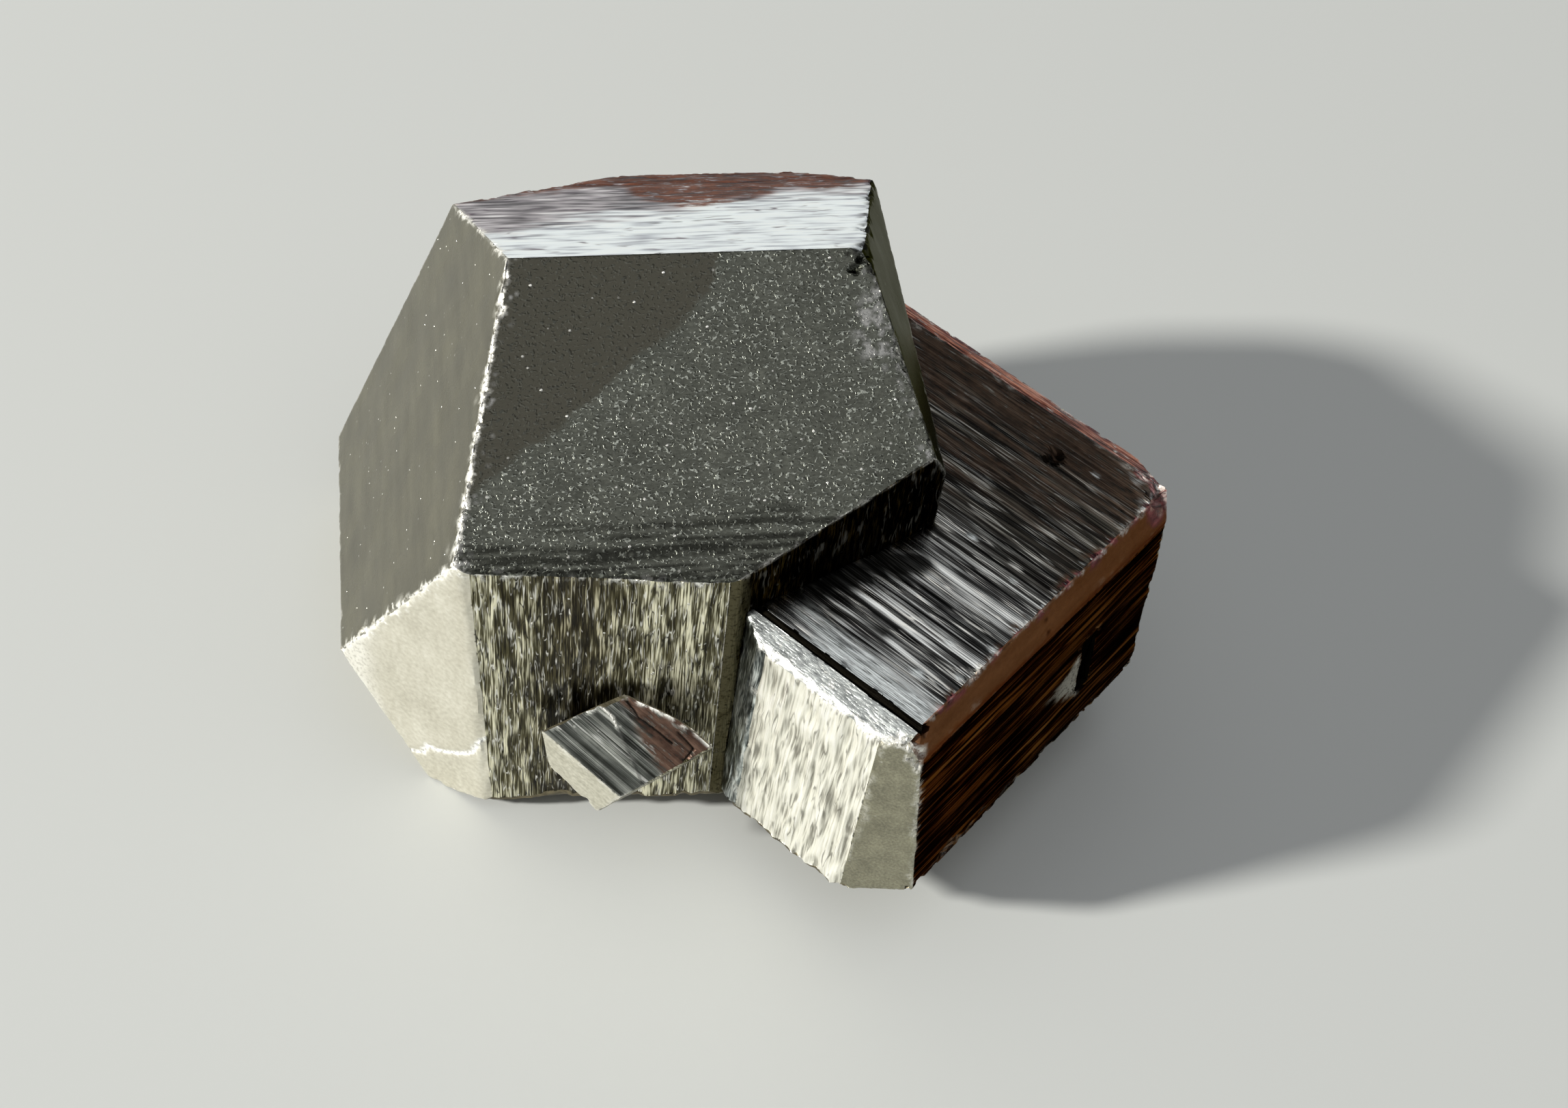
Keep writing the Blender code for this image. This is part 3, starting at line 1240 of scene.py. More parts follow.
mask(
    "rust",
    np.maximum.reduce(
        [
            region_mask("A_back", back_rust),
            region_mask("B_top", top_rust),
            region_mask("C_top", small_rust),
            2.0 * around(("B_back", "B_strip", "B_top"), 3.8, 0.8, -0.7, ("B_top", "B_strip", "B_back")),
            1.5 * beside(("B_strip", "B_top"), 0.8, 0.7, 0.0, ("B_strip", "B_top")),
            1.6 * beside(far_pairs("B_back", "B_top", "B_strip"), 0.9, 0.9, -0.2, ("B_back",)),
        ]
    ),
)
# Zones made darker: part of the large crystal's back beyond a wavering line, the part of the right crystal's top away
# from the groove, and a vertical band of the large crystal's front.
mask(
    "soot",
    np.maximum.reduce(
        [
            region_mask("A_back", back_darker_zone),
            region_mask("B_top", top_darker_zone),
            region_mask("A_front", lambda u, v: np.exp(-(((v - 8.2) / 2.6) ** 2))),
        ]
    ),
)
# Light marks, mostly painted glints and highlights: the facets beside the large crystal's right edge, the band beside
# the groove, the spots on the right crystal's top, the step on the small crystal, flecks along worn edges (chips
# lightened as painted glints) and round the crumbled corner, and the rim of the far bevel. It also lightens the broken
# patch beside the slot, lines along the crack and a band of the A_fl face, and one end of the dark strip.
mask(
    "bright",
    np.maximum.reduce(
        [
            region_mask("B_right", patch),
            region_mask("A_fl", lambda u, v: smooth(0.20, 0.06, along(u, v, FL_CRACK))),
            region_mask(
                "A_fl",
                lambda u, v: 0.5 * smooth(10.5, 13.5, v + 0.6 * noise2(u / 2, v / 2, 541)),
            ),
            region_mask("A_top", top_sparkle),
            region_mask("B_top", groove_glitter),
            # Painted glints on the right crystal's top
            region_mask(
                "B_top",
                spots([(10.6, -12.7, 0.45), (5.7, 1.1, 0.35), (13.4, -6.8, 0.3), (10.6, -8.7, 0.3)]
                      + [(10.5, -0.2, 0.2), (8.8, 13.7, 0.25), (13.2, -10.6, 0.3), (7.6, -9.8, 0.2)]),
            ),
            region_mask(
                "C_top",
                lambda u, v: smooth(0.16, 0.06, along(u, v, C_STEP)) * (0.15 + smooth(-0.6, -1.7, u)),
            ),
            region_mask("A_fl", lambda u, v: smooth(0.26, 0.12, along(u, v, FL_CRACK))),
            around(("B_back", "B_strip", "B_top"), 3.4, 0.45, 0.25, ("B_top", "B_strip", "B_back")),
            beside(far_pairs("B_back", "B_top", "B_strip"), 0.8, 1.0, 0.1, ("B_back",))
            * smooth(0.0, 12.0, flat_position[:, 0] - 14.0),
            beside(("A_front", "A_top"), 1.1, 0.50, 0.05, ("A_front",)),
            beside(("A_front", "A_top"), 0.7, 0.45, 0.15, ("A_top",)),
            beside(("A_left", "A_top"), 1.6, 0.30, 0.55, ("A_left", "A_top")),
            beside(("A_left", "A_top"), 0.5, 0.30, 0.20, ("A_left", "A_top")),
            beside(("A_fl", "A_left"), 0.9, 0.35, 0.30, ("A_left", "A_fl")),
            beside(("B_bevel", "B_front"), 0.7, 0.40, 0.20, ("B_bevel",)),
            beside(("B_strip", "B_top"), 0.6, 0.35, 0.50, ("B_strip", "B_top")),
            beside(("C_far", "C_top"), 0.65, 0.60, -0.25, ("C_top",)),
            beside(("C_behind", "C_top"), 0.60, 0.80, -0.20, ("C_top",)),
            beside(("A_front", "C_top"), 0.55, 0.55, 0.0, ("C_top",)),
            beside(("A_front", "C_top"), 0.45, 0.50, 0.15, ("A_front",)),
            around(("A_fl", "A_left", "A_top"), 2.6, 0.32, 0.05, ("A_fl", "A_left", "A_top")),
            region_mask(
                "A_strip", lambda u, v: smooth(7.2, 8.0, v + 0.5 * noise2(u / 3, v / 0.5, 613))
            ),
        ]
    ),
)
# Black marks: cracks, pits and dark lines of the stone, dark flecks along some edges and in crumbled corners, and a
# painted shadow on the right crystal's top beside the large crystal.
mask(
    "black",
    np.maximum.reduce(
        [
            region_mask("B_top", top_shadow),
            region_mask("B_top", spots([(5.3, 12.6, 0.5), (5.5, 13.3, 0.35)])),
            region_mask("A_top", top_lines),
            region_mask("B_strip", strip_cracks),
            region_mask("A_top", spots([(13.6, 13.9, 1.1), (13.9, 12.2, 0.5)], 0.9)),
            region_mask("A_back", spots([(-1.6, -4.1, 0.18), (0.1, -4.0, 0.18), (1.8, -3.8, 0.15)])),
            region_mask("C_top", small_black),
            0.9 * beside(("A_back", "A_right"), 0.8, 0.45, 0.0, ("A_back", "A_right")),
            0.9 * beside(("A_right", "A_top"), 0.5, 0.40, 0.1, ("A_top",)),
            0.8 * beside(("B_back", "B_top"), 0.7, 0.45, 0.1, ("B_back",)),
            0.9 * around(("B_back", "B_strip", "B_top"), 3.4, 0.6, 0.35, ("B_top", "B_strip", "B_back")),
            0.8 * around(("A_back", "A_right", "A_top"), 1.8, 0.6, -0.2, ("A_top", "A_back")),
        ]
    ),
)


# ------------------------------------------------------------------ materials
class Nodes:
    """Short names for building a node tree."""

    def __init__(self, name):
        self.mat = bpy.data.materials.new(name)
        self.mat.use_nodes = True
        self.tree = self.mat.node_tree
        self.tree.nodes.clear()
        self.out = self.tree.nodes.new("ShaderNodeOutputMaterial")
        self.bsdf = self.tree.nodes.new("ShaderNodeBsdfPrincipled")
        self.tree.links.new(self.bsdf.outputs[0], self.out.inputs[0])

    def link(self, a, b):
        self.tree.links.new(a, b)

    def put(self, socket, value):
        if isinstance(value, bpy.types.NodeSocket):
            self.link(value, socket)
        elif isinstance(value, (tuple, list)) and len(value) == 3 and socket.type == "RGBA":
            socket.default_value = (*value, 1.0)
        else:
            socket.default_value = value

    def math(self, op, a, b=0.0, c=0.0, clamp=False):
        n = self.tree.nodes.new("ShaderNodeMath")
        n.operation, n.use_clamp = op, clamp
        for s, x in zip(n.inputs, (a, b, c)):
            self.put(s, x)
        return n.outputs[0]

    def span(self, x, lo, hi, a=0.0, b=1.0, kind="SMOOTHSTEP"):
        n = self.tree.nodes.new("ShaderNodeMapRange")
        n.interpolation_type = kind
        for s, v in zip(n.inputs, (x, lo, hi, a, b)):
            self.put(s, v)
        return n.outputs[0]

    def mix(self, f, a, b):
        n = self.tree.nodes.new("ShaderNodeMix")
        n.data_type = "RGBA"
        self.put(n.inputs[0], f)
        self.put(n.inputs[6], a)
        self.put(n.inputs[7], b)
        return n.outputs[2]

    def blend(self, f, a, b):
        n = self.tree.nodes.new("ShaderNodeMix")
        n.data_type = "FLOAT"
        self.put(n.inputs[0], f)
        self.put(n.inputs[2], a)
        self.put(n.inputs[3], b)
        return n.outputs[0]

    def ramp(self, f, stops):
        n = self.tree.nodes.new("ShaderNodeValToRGB")
        e = n.color_ramp.elements
        while len(e) < len(stops):
            e.new(0.5)
        for x, (at, colour) in zip(e, stops):
            x.position, x.color = at, (*colour, 1.0)
        self.put(n.inputs[0], f)
        return n.outputs[0]

    def face(self, su=1.0, sv=1.0, offset=(0.0, 0.0, 0.0)):
        """Face coordinates in mm, divided by a feature size along and across."""
        uv = self.tree.nodes.new("ShaderNodeUVMap")
        uv.uv_map = "face_mm"
        m = self.tree.nodes.new("ShaderNodeMapping")
        m.inputs["Scale"].default_value = (1 / su, 1 / sv, 1.0)
        m.inputs["Location"].default_value = offset
        self.link(uv.outputs[0], m.inputs[0])
        return m.outputs[0]

    def noise(self, vector, detail=2.0, rough=0.5, distort=0.0):
        n = self.tree.nodes.new("ShaderNodeTexNoise")
        n.inputs["Scale"].default_value = 1.0
        n.inputs["Detail"].default_value = detail
        n.inputs["Roughness"].default_value = rough
        n.inputs["Distortion"].default_value = distort
        self.link(vector, n.inputs["Vector"])
        return n.outputs["Fac"]

    def voronoi(self, vector, feature="F1", rand=1.0):
        n = self.tree.nodes.new("ShaderNodeTexVoronoi")
        n.feature = feature
        n.inputs["Scale"].default_value = 1.0
        n.inputs["Randomness"].default_value = rand
        self.link(vector, n.inputs["Vector"])
        return n

    def attribute(self, name):
        n = self.tree.nodes.new("ShaderNodeAttribute")
        n.attribute_name = name
        return n.outputs["Fac"]

    def bump(self, height, distance, normal=None):
        n = self.tree.nodes.new("ShaderNodeBump")
        n.inputs["Distance"].default_value = distance * MM
        self.link(height, n.inputs["Height"])
        if normal is not None:
            self.link(normal, n.inputs["Normal"])
        return n.outputs[0]


# The colour of worn edges, and also of the specks and fine bright lines, which are painted glints
WHITE = (0.93, 0.92, 0.86)


def pyrite(
    name,
    dark,
    mid,
    light,
    rough=0.32,
    metal=1.0,
    wide=(0.6, 5.0, 0.5),
    thin=(0.14, 1.4, 0.5),
    relief_shade=0.0,
    thin_bump=0.05,
    grain=0.03,
    grain_size=0.16,
    worms=None,
    specks=0.4,
    edge=WHITE,
    edge_rough=0.45,
    offset=(0.0, 0.0, 0.0),
    rust=None,
    rust_metal=0.4,
    soot=None,
    darker_zone_share=1.0,
    pale=None,
    cloud=(6.0, 0.25),
    black=None,
    layer=None,
    lines=None,
    dashes=None,
    distort=0.1,
    tint=None,
    speck_gap=1.3,
    flake_size=(0.35, 0.35),
    pale_metal=0.25,
    pale_bump=0.0,
    hook_bump=0.02,
    grain_shadow_at=None,
    grain_shadow_colour=(0.02, 0.02, 0.016),
):
    """One face's material. wide and thin are striations: (across, along, weight), in mm."""
    n = Nodes(name)
    a = n.noise(n.face(wide[1], wide[0], offset), 2.0, 0.5)
    b = n.noise(n.face(thin[1], thin[0], offset), 1.5, 0.5, distort)
    c = n.noise(n.face(cloud[0], cloud[0], offset), 3.0, 0.6)
    tone = n.math("MULTIPLY", n.math("SUBTRACT", a, 0.5), 3.4 * wide[2])
    tone = n.math("MULTIPLY_ADD", n.math("SUBTRACT", b, 0.5), 3.4 * thin[2], tone)
    tone = n.math("MULTIPLY_ADD", n.math("SUBTRACT", c, 0.5), 3.0 * cloud[1], tone)
    # Painted light and shade of the striations: lighter crests and lamp-side flanks, darker hollows.
    if relief_shade:
        r = n.math("SUBTRACT", n.attribute("relief_shade"), 0.5)
        tone = n.math("MULTIPLY_ADD", r, relief_shade, tone)
    tone = n.math("ADD", tone, 0.5, clamp=True)
    if soot is not None:
        s = n.attribute("soot")
        tone = n.math("SUBTRACT", tone, n.math("MULTIPLY", s, darker_zone_share * 0.28), clamp=True)
    colour = n.ramp(tone, [(0.0, dark), (0.5, mid), (1.0, light)])
    if soot is not None:
        colour = n.mix(n.math("MULTIPLY", s, darker_zone_share), colour, n.ramp(tone, [(0.0, soot[0]), (0.5, soot[1]), (1.0, soot[2])]))
    roughness = n.math("MULTIPLY_ADD", c, 0.16, rough - 0.08)
    metallic = metal

    normal = n.bump(b, thin_bump)
    if grain:
        grit = n.noise(n.face(grain_size, grain_size, offset), 2.0, 0.6)
        normal = n.bump(grit, grain, normal)
    if layer is not None:
        on_layer = n.attribute("layer")
        colour = n.mix(on_layer, colour, layer)
    for lined, line_colour in ((lines, edge), (dashes, dashes and dashes[4])):
        if not lined:
            continue
        # Long fine lines: contour lines of a stretched noise. Lines are drawn in the edge colour as painted glints
        # along the striations; dashes are dark in their own colour, on the front faces of the large and the right
        # crystal as painted shade between the ridges.
        along_mm, across_mm, at, strength = lined[:4]
        field = n.noise(n.face(along_mm, across_mm, offset), 1.0, 0.4, distort)
        fine_line = n.math("ABSOLUTE", n.math("SUBTRACT", field, 0.5))
        fine_line = n.span(fine_line, 0.008, 0.05, 1.0, 0.0)
        part = n.noise(n.face(along_mm * 0.8, across_mm * 2.2, (2.3, 6.1, 0.0)), 2.0)
        fine_line = n.math("MULTIPLY", fine_line, n.span(part, at, at + 0.12))
        if soot is not None and lined is lines:
            fine_line = n.math("MULTIPLY", fine_line, n.span(s, 0.0, 1.0, 1.0, 0.35, "LINEAR"))
        fine_line = n.math("MULTIPLY", fine_line, strength, clamp=True)
        colour = n.mix(fine_line, colour, line_colour)
    if worms:
        # Short curved hooks: pieces of the contour lines of a noise, lightened in the hook colour as painted glints of
        # the growth marks
        along_mm, across_mm, share, strength, hook_glint_colour = worms
        field = n.noise(n.face(along_mm, across_mm, offset), 1.0, 0.5, 0.5)
        hook = n.math("ABSOLUTE", n.math("SUBTRACT", field, 0.5))
        hook = n.span(hook, 0.012, 0.075, 1.0, 0.0)
        broken = n.noise(n.face(along_mm * 0.9, across_mm * 0.9, (7.3, 1.9, 0.0)), 1.0)
        hook = n.math("MULTIPLY", hook, n.span(broken, share, share + 0.10))
        if layer is not None:
            hook = n.math("MULTIPLY", hook, n.blend(on_layer, 1.0, 0.10))
        hook = n.math("MULTIPLY", hook, strength, clamp=True)
        if grain_shadow_at is not None:
            # Painted shadow beside each grain, on the side away from the lamp
            shifted = tuple(o + h / size for o, h, size in zip(offset, grain_shadow_at, (along_mm, across_mm, 1.0)))
            behind = n.noise(n.face(along_mm, across_mm, shifted), 1.0, 0.5, 0.5)
            behind = n.math("ABSOLUTE", n.math("SUBTRACT", behind, 0.5))
            behind = n.span(behind, 0.012, 0.085, 0.75, 0.0)
            behind = n.math("MULTIPLY", behind, n.span(broken, share, share + 0.10), clamp=True)
            colour = n.mix(behind, colour, grain_shadow_colour)
        colour = n.mix(hook, colour, hook_glint_colour)
        normal = n.bump(hook, hook_bump, normal)
    # Tiny specks in the edge colour: painted glints
    if specks:
        cell = n.voronoi(n.face(speck_gap, speck_gap, offset))
        few = n.noise(n.face(2.4, 2.4, (3.0, 5.0, 0.0)), 2.0)
        dot = n.span(cell.outputs["Distance"], 0.05, 0.12, 1.0, 0.0)
        dot = n.math("MULTIPLY", dot, n.span(few, 0.43, 0.55))
        dot = n.math("MULTIPLY", dot, specks, clamp=True)
        colour = n.mix(dot, colour, edge)
        normal = n.bump(dot, 0.04, normal)
    if rust is not None:
        stain = n.attribute("rust")
        rusty = n.noise(n.face(1.3, 0.5, offset), 4.0, 0.65)
        stain = n.math("MULTIPLY", stain, n.span(rusty, 0.28, 0.50), clamp=True)
        rusty = n.math("MULTIPLY_ADD", n.math("SUBTRACT", tone, 0.5), 0.35, rusty)
        colour = n.mix(stain, colour, n.ramp(rusty, [(0.25, rust[0]), (0.75, rust[1])]))
        red = n.span(n.attribute("rust"), 1.05, 1.5)
        colour = n.mix(red, colour, n.ramp(rusty, [(0.32, (0.030, 0.008, 0.013)), (0.62, (0.26, 0.085, 0.088))]))
        roughness = n.blend(stain, roughness, 0.55)
        metallic = n.blend(stain, metal, rust_metal)
    # Light marks from the bright attribute: mostly painted glints and highlights
    if pale is not None:
        white = n.attribute("bright")
        flake = n.noise(n.face(*flake_size, offset), 3.0, 0.6)
        white = n.math("MULTIPLY", white, n.span(flake, 0.22, 0.42), clamp=True)
        shade = tuple(0.45 * x for x in pale)
        colour = n.mix(white, colour, n.ramp(flake, [(0.36, shade), (0.50, pale)]))
        roughness = n.blend(white, roughness, 0.45)
        metallic = n.blend(white, metallic, pale_metal)
        if pale_bump:
            normal = n.bump(n.math("MULTIPLY", white, flake), pale_bump, normal)

    # Black marks: cracks, pits and crevices, and painted shadow beside the large crystal
    if black is not None:
        black_and_shade = n.math("MULTIPLY", n.attribute("black"), black, clamp=True)
        colour = n.mix(black_and_shade, colour, (0.006, 0.006, 0.005))
        roughness = n.blend(black_and_shade, roughness, 0.5)

    # Worn edges in the edge colour: wear of the stone, and painted highlight where an edge's brightness is high
    wear = n.attribute("worn")
    chip = n.noise(n.face(0.20, 0.20, offset), 2.0, 0.6)
    wear = n.math("MULTIPLY", wear, n.span(chip, 0.34, 0.50, 0.15, 1.0), clamp=True)
    lively = n.noise(n.face(1.1, 1.1, (4.0, 2.0, 0.0)), 2.0)
    wear = n.math("MULTIPLY", wear, n.span(lively, 0.38, 0.56, 0.25, 1.0), clamp=True)
    colour = n.mix(wear, colour, edge)
    roughness = n.blend(wear, roughness, edge_rough)
    metallic = n.blend(wear, metallic, 0.55)

    if tint is not None:
        n.bsdf.inputs["Specular Tint"].default_value = (*tint, 1.0)
    n.put(n.bsdf.inputs["Base Color"], colour)
    n.put(n.bsdf.inputs["Roughness"], roughness)
    n.put(n.bsdf.inputs["Metallic"], metallic)
    n.link(normal, n.bsdf.inputs["Normal"])
    return n.mat


def tones(r, g, b, lo=0.6, hi=1.5):
    """A dark, a middle and a light tone round one colour."""
    return dict(
        dark=(r * lo, g * lo, b * lo),
        mid=(r, g, b),
        light=tuple(min(1.0, x * hi) for x in (r, g, b)),
    )


# The faces are one pyrite. Their base colours differ partly by tarnish and oxide and partly as painted reflection and
# painted shade, each face set to how light it looks from this camera.
GOLD = dict(dark=(0.022, 0.018, 0.007), mid=(0.118, 0.106, 0.052), light=(0.92, 0.89, 0.68))
# Cream: painted reflection of the pale floor, with painted highlight, for the right crystal's front.
CREAM = dict(dark=(0.32, 0.31, 0.26), mid=(0.86, 0.85, 0.75), light=(1.0, 0.99, 0.93))
# Brown tarnish, darkened further as painted shade: the right crystal's right side mirrors shadowed floor.
BROWN = dict(dark=(0.004, 0.002, 0.001), mid=(0.030, 0.013, 0.005), light=(0.165, 0.082, 0.030))
LOOKS = {
    # Dark base: painted shade, so the top reads darker than the lamp and the sky above make it.
    "A_top": dict(**tones(0.095, 0.099, 0.083, 0.7, 1.5), rough=0.33, wide=(1.2, 3.0, 0.15), thin=(0.25, 0.5, 0.35),
                  thin_bump=0.03, worms=(0.44, 0.38, 0.47, 0.95, (0.40, 0.42, 0.37)), specks=0.9, grain=0.03,
                  relief_shade=0.2, layer=(0.078, 0.075, 0.059), black=0.7, pale=(0.34, 0.34, 0.33), cloud=(4.0, 0.4), grain_shadow_at=(-0.10, -0.08, 0.0), pale_metal=0.8),
    "A_left": dict(**tones(0.215, 0.20, 0.145, 0.8, 1.25), rough=0.27, wide=(1.6, 7.0, 0.4), thin=(0.3, 0.3, 0.12),
                   thin_bump=0.010, grain=0.005, specks=1.0, cloud=(5.0, 0.45), pale=(0.9, 0.9, 0.84), speck_gap=0.95),
    # Very dark base: painted shade of this face, turned away from the lamp.
    "A_right": dict(**tones(0.045, 0.046, 0.034, 0.8, 1.3), rough=0.30, wide=(2.0, 6.0, 0.15), thin=(0.3, 0.3, 0.1),
                    thin_bump=0.02, grain=0.01, tint=(0.36, 0.36, 0.29)),
    # Near white base: painted reflection of a bright sky; the rust on it is the stone's own.
    "A_back": dict(dark=(0.36, 0.38, 0.44), mid=(0.90, 0.97, 1.0), light=(0.95, 1.0, 1.0), rough=0.42, metal=0.3,
                   wide=(1.1, 5.0, 0.30), thin=(0.55, 3.6, 0.5), thin_bump=0.04, grain=0.0, specks=0.0, relief_shade=0.3,
                   rust=((0.030, 0.008, 0.006), (0.30, 0.105, 0.055)), rust_metal=0.6,
                   soot=((0.020, 0.010, 0.014), (0.44, 0.40, 0.43), (1.0, 1.0, 1.0)), darker_zone_share=0.9, black=1.0, dashes=(4.5, 0.9, 0.53, 0.9, (0.10, 0.07, 0.10))),
    "A_front": dict(**GOLD, rough=0.36, wide=(0.50, 5.0, 0.30), thin=(0.12, 2.6, 0.75), relief_shade=0.8, distort=0.25,
                    thin_bump=0.05, grain=0.0, worms=(1.9, 0.42, 0.62, 1.0, (1.0, 0.98, 0.92)), metal=0.85,
                    lines=(3.4, 0.30, 0.48, 0.85), dashes=(3.2, 0.36, 0.46, 0.9, (0.010, 0.008, 0.004)), specks=1.0,
                    soot=((0.015, 0.011, 0.005), (0.075, 0.062, 0.032), (0.75, 0.68, 0.46)), darker_zone_share=0.7,
                    pale=(1.0, 1.0, 0.95), speck_gap=1.1, pale_bump=0.30, hook_bump=0.07, pale_metal=0.6),
    # Cream: painted reflection of the pale floor.
    "A_fl": dict(dark=(0.50, 0.47, 0.38), mid=(0.69, 0.665, 0.56), light=(0.88, 0.86, 0.76), rough=0.42, metal=0.6,
                 wide=(1.6, 6.0, 0.15), thin=(0.4, 0.4, 0.25), thin_bump=0.015, grain=0.012, pale=(1.0, 1.0, 0.96),
                 specks=0.3),
    # Near black: painted shade, as this strip mirrors parts in shadow.
    "A_strip": dict(dark=(0.002, 0.0015, 0.001), mid=(0.006, 0.004, 0.0025), light=(0.10, 0.075, 0.03), rough=0.32,
                    wide=(0.4, 3.0, 0.5), thin=(0.14, 1.2, 0.4), specks=0.1, grain=0.0, tint=(0.2, 0.18, 0.12),
                    pale=(0.115, 0.105, 0.065), lines=(3.0, 0.5, 0.52, 0.22), pale_metal=1.0),
    "A_side": dict(dark=(0.03, 0.027, 0.015), mid=(0.085, 0.078, 0.045), light=(0.30, 0.28, 0.19), rough=0.36,
                   wide=(0.5, 6.0, 0.4), thin=(0.16, 1.2, 0.4), specks=0.3, grain=0.01),
    "B_top": dict(dark=(0.004, 0.004, 0.004), mid=(0.10, 0.10, 0.097), light=(0.90, 0.92, 0.90), rough=0.24,
                  wide=(0.50, 12.0, 0.60), thin=(0.14, 8.0, 0.6), relief_shade=0.7, thin_bump=0.04, grain=0.0,
                  lines=(7.0, 0.34, 0.44, 1.0), specks=0.0, pale=(0.86, 0.91, 0.91), black=0.95,
                  rust=((0.034, 0.020, 0.013), (0.135, 0.088, 0.060)), rust_metal=0.9,
                  soot=((0.020, 0.018, 0.016), (0.072, 0.066, 0.053), (0.21, 0.20, 0.17)), darker_zone_share=0.95, flake_size=(1.6, 0.24), pale_metal=1.0, pale_bump=0.05),
    "B_front": dict(**CREAM, rough=0.38, wide=(0.9, 4.0, 0.3), thin=(0.22, 3.2, 0.55), relief_shade=0.55, thin_bump=0.08,
                    grain=0.0, metal=0.6, dashes=(4.6, 0.46, 0.47, 0.75, (0.16, 0.15, 0.12)), distort=0.06, specks=0.3),
    "B_fr": dict(**tones(0.33, 0.315, 0.23, 0.72, 1.35), rough=0.40, wide=(2.0, 4.0, 0.1), thin=(0.22, 0.22, 0.45),
                 grain=0.06, grain_size=0.24, specks=0.7, cloud=(2.4, 0.6)),
    "B_right": dict(**BROWN, rough=0.36, wide=(0.5, 10.0, 0.8), thin=(0.13, 6.0, 0.6), relief_shade=0.8, specks=0.0,
                    pale=(0.50, 0.49, 0.43), thin_bump=0.03, grain=0.0, tint=(0.12, 0.07, 0.03), pale_metal=0.8),
    "B_strip": dict(**tones(0.150, 0.074, 0.038, 0.75, 1.3), rough=0.45, wide=(1.0, 5.0, 0.35), thin=(0.3, 0.5, 0.2),
                    thin_bump=0.02, grain=0.01, specks=0.0, tint=(0.4, 0.2, 0.1), pale=(0.40, 0.24, 0.18), rust=((0.03, 0.008, 0.010), (0.26, 0.07, 0.065)), black=0.9),
    "B_bevel": dict(dark=(0.14, 0.15, 0.15), mid=(0.38, 0.40, 0.395), light=(0.72, 0.76, 0.74), rough=0.38,
                    wide=(0.5, 3.0, 0.35), thin=(0.16, 0.7, 0.5), metal=0.9, lines=(1.5, 0.35, 0.52, 0.45),
                    pale=(1.0, 1.0, 0.98), pale_metal=0.7),
    "B_back": dict(dark=(0.03, 0.006, 0.005), mid=(0.34, 0.09, 0.050), light=(0.90, 0.42, 0.28), rough=0.45,
                   metal=0.4, wide=(0.35, 5.0, 0.7), thin=(0.12, 1.5, 0.5), relief_shade=0.9, lines=(2.0, 0.3, 0.55, 0.9), rust=((0.04, 0.010, 0.012), (0.34, 0.09, 0.07)), black=0.8, pale=(1.0, 0.84, 0.78), pale_bump=0.20),
    "B_narrow": dict(dark=(0.03, 0.035, 0.035), mid=(0.24, 0.27, 0.265), light=(0.9, 0.95, 0.92), rough=0.32,
                     wide=(0.5, 2.5, 0.4), thin=(0.16, 1.4, 0.6), relief_shade=0.6, grain=0.0),
    "C_top": dict(dark=(0.075, 0.077, 0.066), mid=(0.21, 0.22, 0.195), light=(0.68, 0.69, 0.62), rough=0.30,
                  wide=(0.55, 14.0, 0.7), thin=(0.13, 9.0, 0.45), relief_shade=0.5, grain=0.0, specks=0.5, thin_bump=0.02,
                  lines=(9.0, 0.40, 0.50, 1.0), rust=((0.060, 0.032, 0.024), (0.20, 0.125, 0.092)), rust_metal=0.9,
                  black=0.95, pale=(1.0, 1.0, 0.95), cloud=(3.0, 0.3), pale_bump=0.20),
    "C_side": dict(dark=(0.36, 0.345, 0.27), mid=(0.57, 0.555, 0.46), light=(0.80, 0.78, 0.68), rough=0.40, metal=0.6,
                   wide=(1.0, 4.0, 0.2), thin=(0.25, 0.4, 0.3), thin_bump=0.02, grain=0.015),
    "C_end": dict(**GOLD, rough=0.34),
    "striated": dict(**GOLD, rough=0.36, wide=(0.5, 6.0, 0.5), thin=(0.16, 2.4, 0.6), relief_shade=0.8, thin_bump=0.04,
                     grain=0.0, distort=0.3, lines=(3.2, 0.36, 0.52, 0.7), dashes=(3.0, 0.45, 0.5, 0.8, (0.012, 0.01, 0.005))),
    "plain": dict(**tones(0.27, 0.25, 0.19, 0.7, 1.3), rough=0.30, wide=(2.0, 6.0, 0.2), thin=(0.3, 0.5, 0.2),
                  thin_bump=0.015, grain=0.01, specks=0.9, cloud=(5.0, 0.4)),
    "under": dict(**tones(0.18, 0.155, 0.10, 0.5, 1.8), rough=0.42, wide=(0.8, 4.0, 0.4), thin=(0.2, 0.8, 0.4)),
    # Near black: the walls of the groove, the slot and the small crystal's root are pyrite, painted dark as the shade
    # inside them.
    "gap": dict(**tones(0.004, 0.0035, 0.0025), rough=0.6, specks=0.0, edge=(0.010, 0.008, 0.006),
                tint=(0.1, 0.1, 0.08)),
}
WHICH = {
    "A_cube_back": "striated",
    "A_cube_right": "A_side",
    "A_back_left": "plain",
    "A_back_right": "plain",
    "A_under_left": "plain",
    "A_under_front": "under",
    "A_under_back": "plain",
    "B_cube_back": "striated",
    "B_back_right": "plain",
    "B_under_front": "under",
    "B_under_right": "under",
    "C_under": "plain",
    "C_behind": "under",
    "C_far": "under",
    "base": "under",
    "other": "gap",
}
slots = {}
for k, (look, spec) in enumerate(LOOKS.items()):
    mesh.materials.append(pyrite("pyrite_" + look, offset=(3.7 * k, 1.3 * k, 0.0), **spec))
    slots[look] = k
region_slot = np.array([slots[WHICH.get(r["key"], r["key"])] for r in regions])
mesh.polygons.foreach_set("material_index", region_slot[tri_region].astype(np.int32))
mesh.polygons.foreach_set("use_smooth", np.ones(len(mesh.polygons), bool))
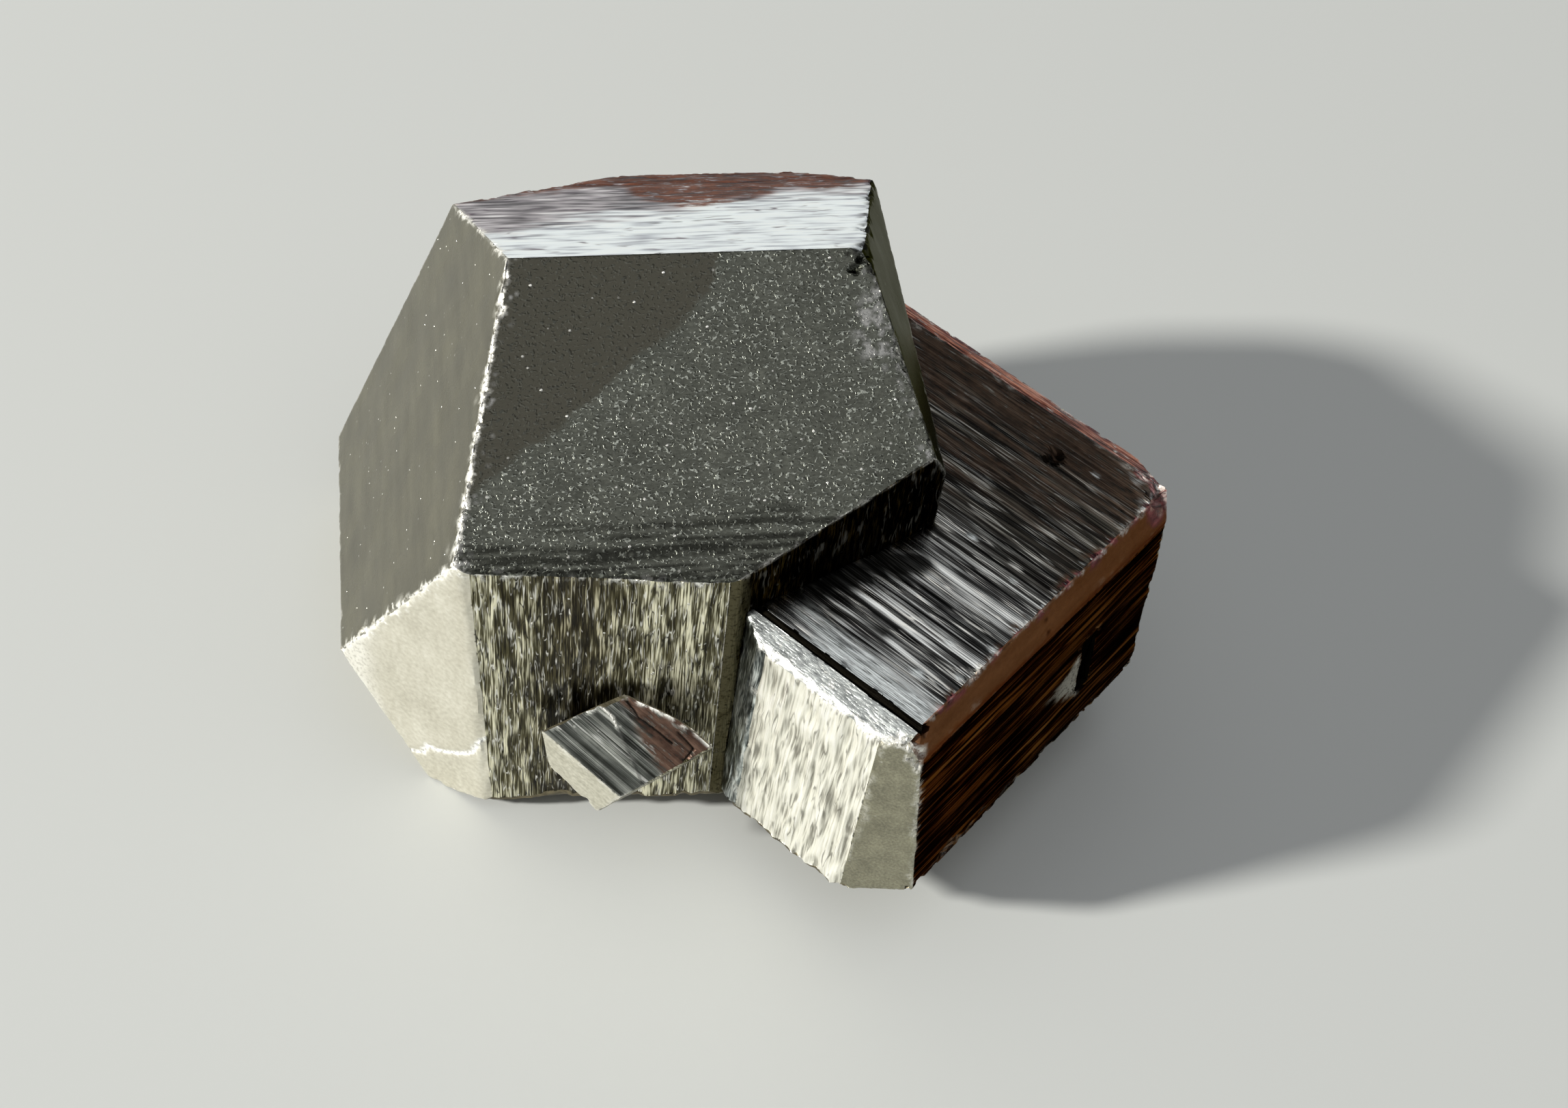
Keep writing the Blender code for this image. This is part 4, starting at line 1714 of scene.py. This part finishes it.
mesh.set_sharp_from_angle(angle=radians(38))
mesh.update()

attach(specimen, "root")
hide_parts("pyrite_crystals")

# ------------------------------------------------------------------ stage
bpy.ops.mesh.primitive_plane_add(size=3.0, location=(0.0, 0.0, 0.0))
floor = bpy.context.object
floor.name = "floor"
paper = bpy.data.materials.new("floor_paper")
paper.use_nodes = True
shader = paper.node_tree.nodes["Principled BSDF"]
shader.inputs["Base Color"].default_value = (0.56, 0.58, 0.575, 1.0)
shader.inputs["Roughness"].default_value = 0.8
floor.data.materials.append(paper)

world = bpy.data.worlds.new("studio")
bpy.context.scene.world = world
world.use_nodes = True
tree = world.node_tree
tree.nodes.clear()
w_out = tree.nodes.new("ShaderNodeOutputWorld")
w_back = tree.nodes.new("ShaderNodeBackground")
w_co = tree.nodes.new("ShaderNodeTexCoord")
w_xyz = tree.nodes.new("ShaderNodeSeparateXYZ")
w_ramp = tree.nodes.new("ShaderNodeValToRGB")
tree.links.new(w_co.outputs["Generated"], w_xyz.inputs[0])
tree.links.new(w_xyz.outputs["Z"], w_ramp.inputs[0])
tree.links.new(w_ramp.outputs[0], w_back.inputs[0])
tree.links.new(w_back.outputs[0], w_out.inputs[0])
for stop, grey in ((0.0, 1.25), (0.16, 1.1), (0.62, 0.10), (1.0, 0.06)):
    if stop in (0.0, 1.0):
        element = w_ramp.color_ramp.elements[int(stop)]
    else:
        element = w_ramp.color_ramp.elements.new(stop)
    element.color = (grey * 0.97, grey, grey * 1.02, 1)
w_back.inputs["Strength"].default_value = 1.0


def lamp(name, at, size, power, colour=(1, 1, 1), target=(0, 0, 0.015)):
    data = bpy.data.lights.new(name, "AREA")
    data.shape, data.size = "DISK", size
    data.energy, data.color = power, colour
    obj = bpy.data.objects.new(name, data)
    obj.location = at
    obj.rotation_euler = (Vector(target) - Vector(at)).to_track_quat("-Z", "Y").to_euler()
    bpy.context.scene.collection.objects.link(obj)
    return obj


sun = Vector((-0.798, -0.400, 0.451)).normalized()
lamp("key", sun * 2.5, 0.22, 96.0, (1.0, 0.97, 0.90))

camera = bpy.data.cameras.new("camera")
camera.lens, camera.sensor_width = 50.44, 36.0
camera.clip_start, camera.clip_end = 0.01, 10.0
eye = bpy.data.objects.new("camera", camera)
eye.matrix_world = Matrix(
    (
        (0.9637, -0.2673, 0.0, 0.004114),
        (0.2141, 0.7719, -0.5986, -0.113137),
        (0.160, 0.577, 0.801, 0.163119),
        (0, 0, 0, 1),
    )
)
bpy.context.scene.collection.objects.link(eye)
bpy.context.scene.camera = eye
bpy.context.scene.view_settings.view_transform = "Standard"
bpy.context.scene.view_settings.look = "None"
